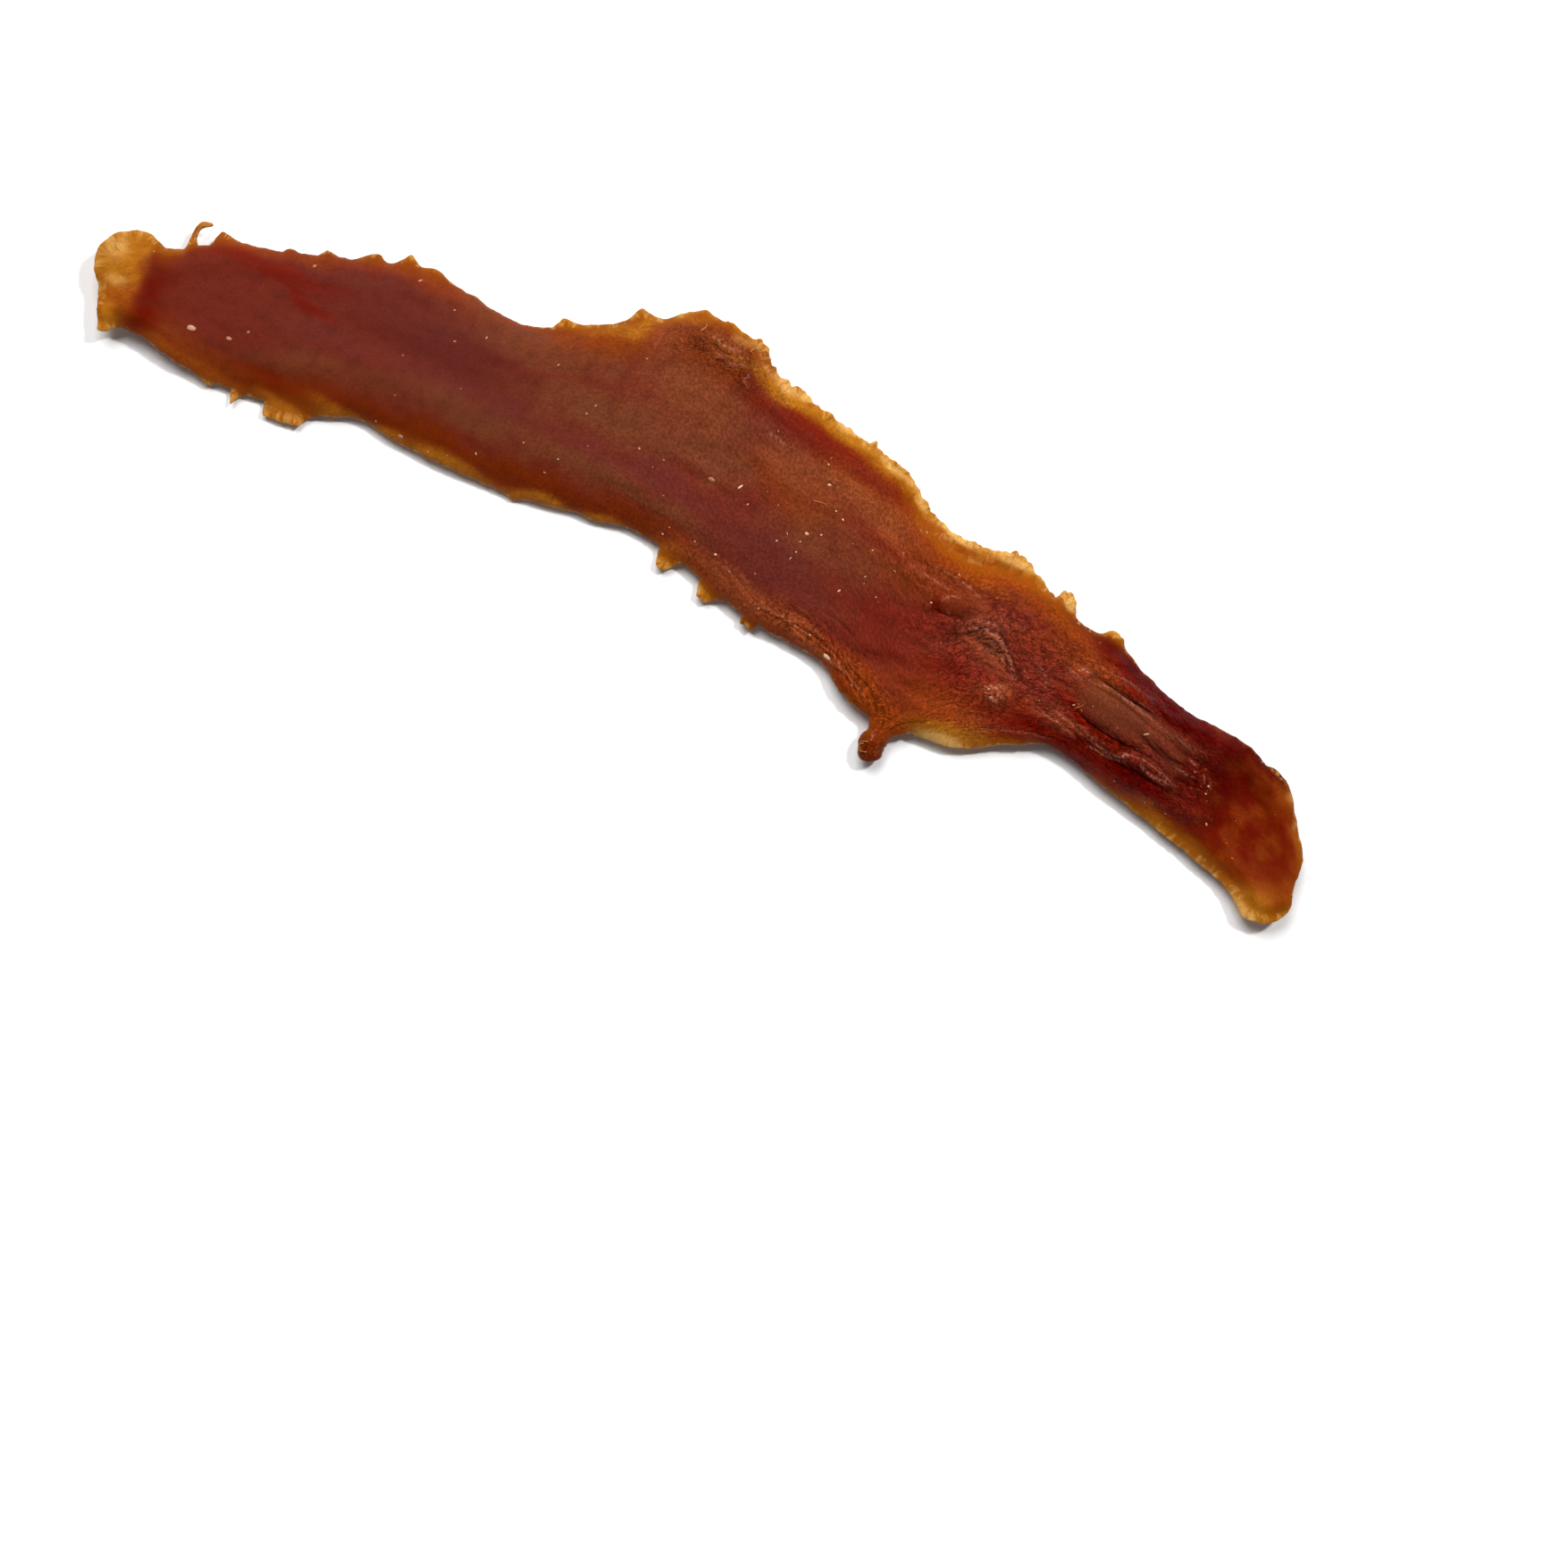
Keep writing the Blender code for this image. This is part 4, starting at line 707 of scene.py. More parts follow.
def shape_strip(skin, rim, surface):
    """Gives the fine mesh its relief and its attributes. The last number of each pattern is its own layer."""
    normals = skin.store()
    x, y = on_drawing(skin.at)
    thickness = strip_thickness(skin, normals)
    flow = flow_of(x, y, rim)
    number, depth = rim.nearest(x, y)
    edge = rim.wrapped(number, depth)
    solid = eased((thickness - 0.9) / 1.2)
    wrinkled = patches(x, y, WRINKLED) * solid * (1 - patches(x, y, SMOOTH))
    crumpled = patches(x, y, CRUMPLED) * eased((thickness - 0.6) / 0.8)
    folded = fold_cover(x, y) * eased((1.8 - thickness) / 0.8)
    drawn = 0.15 + 0.3 * eased((x + 24) / 30) * eased((56 - x) / 8) + 0.55 * wrinkled

    bend_along, bend_across = 1.5 * waves(flow, (4, 3), 31), waves(flow, (4, 3), 35)
    bent = flow + np.column_stack([bend_along, bend_across, np.zeros(len(x))])
    height = surface.wrinkle * wrinkled * (ridges(bent, (4, 1.6), 2) - 0.5)
    height += surface.wrinkle * 0.8 * wrinkled * (ridges(bent, (1.6, 0.7), 6) - 0.5)
    lumps = 1.2 * np.abs(waves(flow, (1.5, 1.2), 40)) - 0.4 + 0.5 * waves(flow, (0.7, 0.6), 44)
    height += surface.crumple * crumpled * lumps
    height += surface.grain * waves(flow, (2, 0.6), 9) * (0.5 + solid) * drawn * 1.6
    height += patches(x, y, FILLED, 0.2) * FILL * MM
    creased = 0.3 * line_cover(x, y, CREASES, 2.4) - 1.1 * line_cover(x, y, CREASES)
    height += creased * surface.crease * MM * np.maximum(solid, 0.4 * eased(thickness))
    pleats = waves(edge, (1.5, 1.5, 4), 50) + 0.5 * waves(edge, (0.5, 0.5, 1.2), 55)
    height += surface.pleat * ((1 - solid) * pleats * eased(depth / 0.3) + folded)
    below = -surface.wrinkle * 0.8 * solid * eased(waves(flow, (4, 1.6), 15))
    skin.at += normals * np.where(normals[:, 2] > 0, height, below)[:, None]
    wander = waves(edge, (1.3, 1.3, 5), 60) + 0.6 * waves(edge, (0.45, 0.45, 5), 63)
    skin.at[:, :2] += rim.out[number] * (surface.ragged * wander * np.exp(-((depth / 0.6) ** 2)))[:, None]
    skin.at = np.clip(skin.at, CAD_LOW, CAD_HIGH)
    skin.store()

    kept = {
        "thickness": thickness,
        "flow": flow,
        "edge": edge,
        "drawn": drawn,
        "wrinkled": wrinkled,
        "crumpled": crumpled,
        "folded": folded,
        # Painted shade along the creases
        "groove": np.clip(line_cover(x, y, CREASES, 0.6) / 0.15, 0, 1),
        # Painted highlights along thin crests
        "gleam": line_cover(x, y, GLEAMS),
        "blotched": patches(x, y, BLOTCHED),
        # Where highlights are painted on small crests
        "glints": np.maximum(patches(x, y, GLINTS, 0.4), 0.06 * wrinkled),
        "grainy": 0.35 + 0.65 * eased((x + 30) / 30) * eased((60 - x) / 8),
        "browned": patches(x, y, BROWNED) * eased((1.9 - thickness) / 0.9),
    }
    kept.update({name: patches(x, y, rows) for name, rows in TINTS.items()})
    for name, values in kept.items():
        keep_values(skin.mesh, name, values)


def dress_strip(settings):
    """The strip with its skin: a fine copy of the plain solid, smoothed, wrinkled and given its tints."""
    noise.seed_set(settings.surface.seed)
    skin, rim = fine_skin(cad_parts[NODE], settings.surface.rounds, "dried_strip")
    shape_strip(skin, rim, settings.surface)
    skin.mesh.materials.append(strip_material(settings))
    skin.mesh.shade_smooth()
    return new_object("dried_strip", skin.mesh)


# Materials


class Graph:
    """Adds nodes to a tree and links them."""

    def __init__(self, tree):
        self.tree = tree

    def add(self, kind, inputs=None, **settings):
        """A node with its settings. An input that is given a socket is linked, and any other is set."""
        # A group node has its sockets only once its tree is set, so settings come before inputs.
        made = self.tree.nodes.new(kind)
        made.location = (220 * (len(self.tree.nodes) % 12), -260 * (len(self.tree.nodes) // 12))
        for name, value in settings.items():
            setattr(made, name, value)
        for name, value in (inputs or {}).items():
            self.put(made, name, value)
        return made

    def put(self, made, name, value):
        """Links or sets one input, which is named, numbered or given by its identifier."""
        socket = made.inputs[name] if isinstance(name, int) else self.socket(made.inputs, name)
        if isinstance(value, bpy.types.NodeSocket):
            self.tree.links.new(value, socket)
        else:
            socket.default_value = value

    @staticmethod
    def socket(sockets, name):
        """The socket with a name or, where several share it, with an identifier."""
        return next((s for s in sockets if s.identifier == name), None) or sockets[name]

    def math(self, operation, a, b=0.0, c=0.0, clamp=False):
        return self.add("ShaderNodeMath", {0: a, 1: b, 2: c}, operation=operation, use_clamp=clamp).outputs[0]

    def plus(self, a, b):
        return self.math("ADD", a, b)

    def less(self, a, b, clamp=False):
        return self.math("SUBTRACT", a, b, clamp=clamp)

    def times(self, a, b, clamp=False):
        return self.math("MULTIPLY", a, b, clamp=clamp)

    def line(self, value, slope, start):
        """A value times a slope, plus a start."""
        return self.math("MULTIPLY_ADD", value, slope, start)

    def off_middle(self, value):
        """How far a noise is from its middle value, either way."""
        return self.math("ABSOLUTE", self.less(value, 0.5))

    def stretch(self, vector, by):
        return self.add("ShaderNodeVectorMath", {0: vector, 1: by}, operation="MULTIPLY").outputs[0]

    def scale(self, vector, by):
        return self.add("ShaderNodeVectorMath", {0: vector, "Scale": by}, operation="SCALE").outputs[0]

    def noise(self, vector, scale, detail=3.0, roughness=0.55, distortion=0.0):
        inputs = {"Vector": vector, "Scale": scale, "Detail": detail, "Roughness": roughness}
        return self.add("ShaderNodeTexNoise", {**inputs, "Distortion": distortion}).outputs["Fac"]

    def span(self, value, low, high, to_low=0.0, to_high=1.0):
        """A value's place between two limits, eased and clamped."""
        inputs = {"Value": value, "From Min": low, "From Max": high, "To Min": to_low, "To Max": to_high}
        return self.add("ShaderNodeMapRange", inputs, interpolation_type="SMOOTHSTEP").outputs["Result"]

    def attribute(self, name, output="Fac"):
        return self.add("ShaderNodeAttribute", attribute_name=name).outputs[output]

    def mix(self, share, a, b, blend="MIX"):
        inputs = {"Factor_Float": share, "A_Color": a, "B_Color": b}
        made = self.add("ShaderNodeMix", inputs, data_type="RGBA", blend_type=blend)
        return self.socket(made.outputs, "Result_Color")

    def tint(self, tone, share, colour):
        """A tone under a share of another colour."""
        return self.mix(share, tone, rgba(colour))

    def shade(self, tone, value, low, high, to_low, to_high):
        """A tone times a factor that follows a value between two limits."""
        return self.mix(1.0, tone, self.span(value, low, high, to_low, to_high), blend="MULTIPLY")

    def bump(self, shader, height, strength, distance):
        """Feeds a height to a shader's normal."""
        made = self.add("ShaderNodeBump", {"Height": height, "Strength": strength, "Distance": distance})
        self.put(shader, "Normal", made.outputs["Normal"])


def rgba(colour):
    """A property's colour as a socket takes it."""
    return (*colour, 1.0)


def group_of(name, inputs, outputs, kind="ShaderNodeTree"):
    """A new node group with named sockets, its graph, and its input and output nodes."""
    tree = bpy.data.node_groups.new(name, kind)
    for socket_name, socket_type, *default in inputs:
        made = tree.interface.new_socket(name=socket_name, in_out="INPUT", socket_type=socket_type)
        if default:
            made.default_value = default[0]
    for socket_name, socket_type in outputs:
        tree.interface.new_socket(name=socket_name, in_out="OUTPUT", socket_type=socket_type)
    graph = Graph(tree)
    return tree, graph, graph.add("NodeGroupInput").outputs, graph.add("NodeGroupOutput")


GRAIN_INPUTS = [
    ("Flow", "NodeSocketVector"),
    ("Stretch", "NodeSocketFloat", 4.0),
    ("Drawn", "NodeSocketFloat", 1.0),
    ("Size", "NodeSocketFloat", 1.0),
]
GRAIN_OUTPUTS = ("Streaks", "Mottle", "Fine", "Height", "Wrinkles", "Crests", "Cracks")


def fibre_group():
    """Streaks, mottling and fine relief of dried fibres, on coordinates in millimetres along them."""
    if "Fibre Grain" in bpy.data.node_groups:
        return bpy.data.node_groups["Fibre Grain"]
    outputs = [(name, "NodeSocketFloat") for name in GRAIN_OUTPUTS]
    tree, graph, given, out = group_of("Fibre Grain", GRAIN_INPUTS, outputs)
    drawn_by = graph.math("DIVIDE", 1.0, given["Stretch"])
    squeeze = graph.add("ShaderNodeCombineXYZ", {"X": drawn_by, "Y": 1.0, "Z": 1.0}).outputs[0]
    sized = graph.scale(given["Flow"], given["Size"])
    drawn = graph.stretch(sized, squeeze)
    short = graph.stretch(sized, (0.55, 1.0, 1.0))
    streaks = graph.noise(drawn, 1.3, detail=5.0, roughness=0.6, distortion=0.4)
    clouds = graph.noise(sized, 0.9, detail=4.0, roughness=0.5)
    lines = graph.noise(drawn, 4.0, detail=4.0, roughness=0.65, distortion=0.3)
    pores = graph.noise(graph.stretch(sized, (0.75, 1.0, 1.0)), 4.6, roughness=0.65, distortion=0.3)
    wrinkles = graph.off_middle(graph.noise(short, 1.25, distortion=0.9))
    net = graph.off_middle(graph.noise(short, 3.4, detail=2.0, roughness=0.5, distortion=1.6))
    made = {
        "Streaks": graph.line(graph.less(streaks, clouds), given["Drawn"], clouds),
        "Mottle": graph.noise(sized, 0.55, detail=4.0, roughness=0.6),
        "Fine": pores,
        "Height": graph.plus(graph.times(lines, given["Drawn"]), graph.times(pores, 0.8)),
        "Wrinkles": graph.math("MINIMUM", graph.times(wrinkles, 4.0), 0.6),
        # The tops of the wrinkles, where highlights are painted
        "Crests": graph.span(wrinkles, 0.13, 0.24),
        "Cracks": graph.span(net, 0.0, 0.05, 1.0, 0.0),
    }
    for name, value in made.items():
        graph.put(out, name, value)
    return tree


# Where each tint of the meat takes over from the one before: from and to a thickness in millimetres.
MEMBRANE_STEPS = {"Gold": (0.32, 0.52), "Amber": (0.55, 1.0), "Rust": (1.0, 1.7), "Maroon": (1.6, 2.7)}


def membrane_group():
    """The tint of dried meat by its thickness in millimetres. Light comes through where it is thin."""
    if "Membrane Tone" in bpy.data.node_groups:
        return bpy.data.node_groups["Membrane Tone"]
    inputs = [("Thickness", "NodeSocketFloat", 1.0)]
    inputs += [(name, "NodeSocketColor") for name in ("Pale", *MEMBRANE_STEPS)]
    tree, graph, given, out = group_of("Membrane Tone", inputs, [("Color", "NodeSocketColor")])
    tone = given["Pale"]
    for name, (low, high) in MEMBRANE_STEPS.items():
        tone = graph.mix(graph.span(given["Thickness"], low, high), tone, given[name])
    graph.put(out, "Color", tone)
    return tree


def new_material(name, finish):
    """A material with nothing but its Principled BSDF, with the values of its finish, and its graph."""
    made = bpy.data.materials.new(name)
    made.use_nodes = True
    shader = made.node_tree.nodes["Principled BSDF"]
    for socket, value in finish.items():
        shader.inputs[socket].default_value = value
    return made, Graph(made.node_tree), shader


def grained(graph, flow, stretch=4.0, size=1.0, drawn=1.0):
    """The fibre grain on a material's own coordinates."""
    inputs = {"Flow": flow, "Stretch": stretch, "Size": size, "Drawn": drawn}
    return graph.add("ShaderNodeGroup", inputs, node_tree=fibre_group()).outputs


def grained_in_place(graph, stretch, size):
    """The fibre grain on an object's own coordinates."""
    place = graph.add("ShaderNodeTexCoord").outputs["Object"]
    return grained(graph, graph.scale(place, 1 / MM), stretch, size)


def toned(graph, thickness, colours):
    """The membrane tone with the strip's colours."""
    inputs = {name: rgba(getattr(colours, name.lower())) for name in ("Pale", *MEMBRANE_STEPS)}
    made = graph.add("ShaderNodeGroup", {"Thickness": thickness, **inputs}, node_tree=membrane_group())
    return made.outputs["Color"]


SKIN_VALUES = ("thickness", "drawn", "wrinkled", "crumpled", "folded", "groove", "gleam")
SKIN_VALUES += ("blotched", "glints", "grainy", "browned", *TINTS)


def skin_places(graph):
    """What the strip's attributes and its grain give at each place, as sockets by name."""
    on = SimpleNamespace(**{name: graph.attribute(name) for name in SKIN_VALUES})
    on.flow, on.edge = graph.attribute("flow", "Vector"), graph.attribute("edge", "Vector")
    for name, value in grained(graph, on.flow, drawn=on.drawn).items():
        setattr(on, name.lower(), value)
    on.pleats = graph.noise(graph.stretch(on.edge, (1.0, 1.0, 0.4)), 1.1, detail=5.0, roughness=0.65)
    on.thin = graph.span(on.thickness, 0.7, 1.5, 1.0, 0.0)
    on.glossy = graph.math("MAXIMUM", on.wrinkled, on.crumpled)
    on.cracks = graph.times(on.cracks, graph.math("MAXIMUM", on.glossy, graph.times(on.grainy, 0.15)))
    return on


def seen_thickness(graph, on):
    """The thickness, uneven along the fibres and across the thin edge, where folds and browning add to it."""
    uneven = graph.line(graph.plus(on.streaks, on.mottle), 1.2, -1.2)
    thickness = graph.line(uneven, graph.span(on.thickness, 0.6, 1.8, 0.15, 1.0), on.thickness)
    thickness = graph.plus(thickness, graph.times(graph.line(on.pleats, 1.2, -0.5), on.thin))
    return graph.line(on.browned, 0.28, graph.line(on.folded, 0.45, thickness))


def meat_tone(graph, on, colours):
    """The meat by its thickness, under a film that is partly painted sheen, bruises and its patches of other
    tints, some of them painted shade.
    """
    tone = toned(graph, seen_thickness(graph, on), colours)
    thick = graph.less(graph.span(on.thickness, 1.4, 2.2), on.blotched, clamp=True)
    # A brown film over the mottling of thick meat, partly painted sheen
    tone = graph.tint(tone, graph.times(graph.span(on.mottle, 0.50, 0.68, 0.0, 0.5), thick), colours.film_and_painted_sheen)
    tone = graph.tint(tone, graph.times(graph.span(on.mottle, 0.46, 0.32, 0.0, 0.5), thick), colours.plum)
    broken = graph.line(graph.plus(graph.plus(on.streaks, on.mottle), on.fine), 1.1, -0.55)
    for name in TINTS:
        cover = graph.times(getattr(on, name), broken, clamp=True)
        tone = graph.tint(tone, cover, getattr(colours, name))
    blotches = graph.span(graph.noise(on.flow, 0.42, detail=2.0, roughness=0.4), 0.40, 0.70)
    blotches = graph.times(blotches, on.blotched, clamp=True)
    return graph.tint(tone, graph.times(blotches, 0.36), colours.orange)


def edge_tone(graph, on, colours, tone):
    """Pale and dark columns across the thin edge."""
    membrane = graph.span(on.thickness, 0.5, 0.95)
    across = graph.stretch(on.edge, (1.0, 1.0, 0.3))
    columns = graph.noise(across, 1.3, detail=4.0, roughness=0.65, distortion=0.5)
    pale = graph.times(graph.span(columns, 0.50, 0.62), graph.less(0.8, membrane), clamp=True)
    tone = graph.tint(tone, graph.times(pale, 0.5), colours.cream)
    dark = graph.times(graph.span(columns, 0.47, 0.38), graph.less(1.0, membrane))
    return graph.tint(tone, graph.times(dark, 0.6), colours.amber)


def skin_tone(graph, on, colours, tone):
    """Streaks and pores in the skin, painted shade in its cracks, wrinkle lines and creases, and painted
    highlights on its crests.
    """
    tone = graph.shade(tone, on.streaks, 0.25, 0.6, 0.84, 1.06)
    # Painted shade in the cracks
    tone = graph.shade(tone, on.cracks, 0.0, 1.0, 1.0, 0.62)
    # Painted highlights on the crests of the wrinkles, where the glints mask says
    crests = graph.times(on.crests, graph.span(on.fine, 0.45, 0.6))
    crests = graph.times(crests, graph.span(on.glints, 0.05, 0.7))
    tone = graph.tint(tone, graph.times(crests, 0.55), colours.painted_highlight)
    grainy = graph.times(on.grainy, graph.span(on.thickness, 0.7, 1.6, 0.25, 1.0))
    tone = graph.shade(tone, on.fine, 0.32, 0.72, graph.line(grainy, -0.2, 1.0), graph.line(grainy, 0.4, 1.0))
    # Painted shade in the lines between the wrinkles
    lines = graph.times(graph.span(on.wrinkles, 0.02, 0.3, 1.0, 0.0), on.wrinkled)
    tone = graph.shade(tone, lines, 0.0, 1.0, 1.0, 0.45)
    tone = graph.shade(tone, on.wrinkled, 0.0, 1.0, 0.87, 1.45)
    tone = graph.shade(tone, on.thickness, 0.8, 1.6, 1.04, 1.0)
    # Painted shade in the creases
    tone = graph.shade(tone, on.groove, 0.2, 1.0, 1.0, 0.6)
    # Painted highlights along the thin crests
    gleam = graph.times(on.gleam, graph.span(on.fine, 0.40, 0.58))
    return graph.tint(tone, graph.times(gleam, 0.75), colours.painted_highlight)


MEAT_FINISH = {
    "Specular IOR Level": 0.035,
    "Specular Tint": (1.0, 0.50, 0.36, 1.0),
    "Subsurface Weight": 0.06,
    "Subsurface Radius": (1.0, 0.35, 0.15),
    "Subsurface Scale": 0.0005,
}
FAT_FINISH = {
    "Roughness": 0.42,
    "Specular IOR Level": 0.25,
    "Subsurface Weight": 0.2,
    "Subsurface Radius": (1.0, 0.6, 0.4),
    "Subsurface Scale": 0.0004,
}
FINE_DEPTH = 2e-5


def strip_material(settings):
    """Dried duck meat: tinted by its thickness and in patches, and glossier where it is wrinkled."""
    made, graph, shader = new_material("dried_meat", MEAT_FINISH)
    on = skin_places(graph)
    tone = meat_tone(graph, on, settings.colours)
    tone = edge_tone(graph, on, settings.colours, tone)
    graph.put(shader, "Base Color", skin_tone(graph, on, settings.colours, tone))
    graph.put(shader, "Roughness", graph.line(on.glossy, -0.22, graph.line(on.mottle, 0.24, 0.28)))
    deep = graph.times(on.height, graph.line(on.glossy, 0.6, 0.6))
    deep = graph.line(graph.times(on.wrinkles, on.glossy), 4.0, deep)
    deep = graph.line(on.cracks, -1.5, deep)
    deep = graph.line(graph.times(on.pleats, on.thin), 0.8, deep)
    graph.bump(shader, deep, 0.9, settings.surface.pores)
    return made


def fat_material(settings):
    """Flecks of fat from honey to white, waxy."""
    made, graph, shader = new_material("dried_fat", FAT_FINISH)
    grain = grained_in_place(graph, 1.5, 3.0)
    tint = graph.less(graph.line(grain["Mottle"], 0.5, graph.attribute("tint")), 0.25, clamp=True)
    tone = graph.mix(tint, rgba(settings.colours.honey), rgba(settings.colours.fat))
    graph.put(shader, "Base Color", tone)
    graph.bump(shader, grain["Height"], 0.5, FINE_DEPTH)
    return made


def fibre_material(settings):
    """Loose fibres: thin pale membrane."""
    made, graph, shader = new_material("loose_fibre", {"Roughness": 0.4})
    grain = grained_in_place(graph, 2.0, 2.0)
    thickness = graph.line(grain["Streaks"], 0.5, 0.12)
    graph.put(shader, "Base Color", toned(graph, thickness, settings.colours))
    graph.bump(shader, grain["Height"], 0.3, FINE_DEPTH)
    return made


# Flecks and fibres


def geometry_tree(name, **inputs):
    """A geometry node group with its named inputs, its graph, and its input and output nodes."""
    shape = ("Geometry", "NodeSocketGeometry")
    sockets = [shape] + [(socket_name, "NodeSocket" + kind) for socket_name, kind in inputs.items()]
    return group_of(name, sockets, [shape], "GeometryNodeTree")


def end_tree(graph, given, out, geometry):
    """Makes the instances real, gives them the tree's material and puts them out."""
    real = graph.add("GeometryNodeRealizeInstances", {"Geometry": geometry}).outputs[0]
    done = graph.add("GeometryNodeSetMaterial", {"Geometry": real, "Material": given["Material"]})
    graph.put(out, "Geometry", done.outputs[0])


def run_tree(mesh, tree, values, name):
    """The plain mesh that a tree makes of a mesh, as a new object."""
    holder = new_object(name + "_source", mesh)
    modifier = holder.modifiers.new("Nodes", "NODES")
    modifier.node_group = tree
    for item in tree.interface.items_tree:
        if item.in_out == "INPUT" and item.name in values:
            modifier[item.identifier] = values[item.name]
    holder.update_tag()
    evaluated = holder.evaluated_get(bpy.context.evaluated_depsgraph_get())
    made = bpy.data.meshes.new_from_object(evaluated)
    made.name = name
    holder.modifiers.remove(modifier)
    bpy.data.objects.remove(holder)
    return new_object(name, made)


def point_value(graph, name, kind="FLOAT"):
    """A value that the points carry."""
    return graph.add("GeometryNodeInputNamedAttribute", {"Name": name}, data_type=kind).outputs[0]


def random_value(graph, low, high, seed):
    """A number or a vector between two limits, drawn for each point."""
    kind, end = ("FLOAT_VECTOR", "") if isinstance(low, tuple) else ("FLOAT", "_001")
    inputs = {"Min" + end: low, "Max" + end: high, "Seed": seed}
    made = graph.add("FunctionNodeRandomValue", inputs, data_type=kind)
    return Graph.socket(made.outputs, "Value" + end)


def blobs_on(graph, points, seed, rotation, scale):
    """A small smooth ball with an uneven surface on each point."""
    ball = graph.add("GeometryNodeMeshIcoSphere", {"Radius": 1.0, "Subdivisions": 2}).outputs["Mesh"]
    ball = graph.add("GeometryNodeSetShadeSmooth", {"Geometry": ball}).outputs[0]
    bumps = graph.add("ShaderNodeTexNoise", {"Scale": 1.1, "Detail": 1.0, "W": seed}, noise_dimensions="4D")
    normal = graph.add("GeometryNodeInputNormal").outputs[0]
    offset = graph.scale(normal, graph.line(bumps.outputs["Fac"], 0.9, -0.45))
    blob = graph.add("GeometryNodeSetPosition", {"Geometry": ball, "Offset": offset}).outputs[0]
    inputs = {"Points": points, "Instance": blob, "Rotation": rotation, "Scale": scale}
    return graph.add("GeometryNodeInstanceOnPoints", inputs).outputs[0]


def fleck_tree():
    """Turns each point into an uneven fleck of the point's own size, turn and tint."""
    tree, graph, given, out = geometry_tree("Fat Flecks", Seed="Float", Material="Material")
    turn, size = (point_value(graph, name, "FLOAT_VECTOR") for name in ("turn", "size"))
    end_tree(graph, given, out, blobs_on(graph, given["Geometry"], given["Seed"], turn, size))
    return tree


def speck_tree():
    """Scatters tiny specks over the top of the strip, more where the mask says."""
    tree, graph, given, out = geometry_tree(
        "Fine Specks", Density="Float", Seed="Int", Smallest="Float", Largest="Float", Material="Material"
    )
    density = graph.times(given["Density"], point_value(graph, "specks"))
    inputs = {"Mesh": given["Geometry"], "Density": density, "Seed": given["Seed"]}
    points = graph.add("GeometryNodeDistributePointsOnFaces", inputs, distribute_method="RANDOM").outputs
    size = random_value(graph, given["Smallest"], given["Largest"], given["Seed"])
    stretch = random_value(graph, (0.7, 0.5, 0.35), (2.6, 0.9, 0.7), 5)
    placed = blobs_on(graph, points["Points"], 3.0, points["Rotation"], graph.scale(stretch, size))
    inputs = {"Geometry": placed, "Name": "tint", "Value": random_value(graph, 0.2, 0.9, 4)}
    tinted = graph.add("GeometryNodeStoreNamedAttribute", inputs, data_type="FLOAT", domain="INSTANCE")
    end_tree(graph, given, out, tinted.outputs[0])
    return tree


def fibre_tree():
    """Turns lines of points into round fibres that are thin at their ends."""
    tree, graph, given, out = geometry_tree("Loose Fibres", Sides="Int", Material="Material")
    curve = graph.add("GeometryNodeMeshToCurve", {"Mesh": given["Geometry"]}).outputs["Curve"]
    curve = graph.add("GeometryNodeCurveSplineType", {"Curve": curve}, spline_type="CATMULL_ROM").outputs[0]
    curve = graph.add("GeometryNodeResampleCurve", {"Curve": curve, "Count": 14}).outputs[0]
    along = graph.add("GeometryNodeSplineParameter").outputs["Factor"]
    taper = graph.math("POWER", graph.less(1.02, along), 0.6)
    profile = graph.add("GeometryNodeCurvePrimitiveCircle", {"Resolution": given["Sides"], "Radius": 1.0})
    inputs = {
        "Curve": curve,
        "Profile Curve": profile.outputs["Curve"],
        "Scale": graph.times(point_value(graph, "radius_m"), taper),
        "Fill Caps": True,
    }
    end_tree(graph, given, out, graph.add("GeometryNodeCurveToMesh", inputs).outputs[0])
    return tree


def surface_of(strip):
    """A tree of the strip's faces, for finding its top."""
    points = [vertex.co for vertex in strip.data.vertices]
    return bvhtree.BVHTree.FromPolygons(points, [face.vertices[:] for face in strip.data.polygons])


ABOVE = 0.02  # a height over all of the strip


def top_at(tree, x, y):
    """The top of the strip at a place on the drawing, and its normal, or twice None off the strip."""
    return tree.ray_cast(Vector((*on_strip(x, y), ABOVE)), Vector((0, 0, -1)))[:2]


def points_mesh(name, places, edges=(), **layers):
    """A mesh of bare points, with a value of each kind for each point."""
    mesh = bpy.data.meshes.new(name)
    mesh.from_pydata(places, edges, [])
    for layer_name, values in layers.items():
        keep_values(mesh, layer_name, values)
    return mesh


def make_flecks(settings, strip):
    """The larger flecks of fat, each where it lies."""
    tree = surface_of(strip)
    places, sizes, turns, tints = [], [], [], []
    spread = settings.flecks.spread * MM
    for x, y, half_length, half_width, turn, tint in FLECKS:
        place, normal = top_at(tree, x, y)
        if place is None:
            continue
        rise = half_width * FLECK_RISE * spread
        along = Vector((math.cos(math.radians(turn)), math.sin(math.radians(turn)), 0))
        across = normal.cross(along).normalized()
        lying = Matrix((across.cross(normal), across, normal)).transposed()
        places.append(place - normal * rise * FLECK_SINK)
        sizes.append((half_length * spread, half_width * spread, rise))
        turns.append(lying.to_euler()[:])
        tints.append(tint)
    mesh = points_mesh("fat_flecks_points", places, size=sizes, turn=turns, tint=tints)
    material = fat_material(settings)
    return run_tree(mesh, fleck_tree(), {"Seed": 1.0, "Material": material}, "fat_flecks"), material


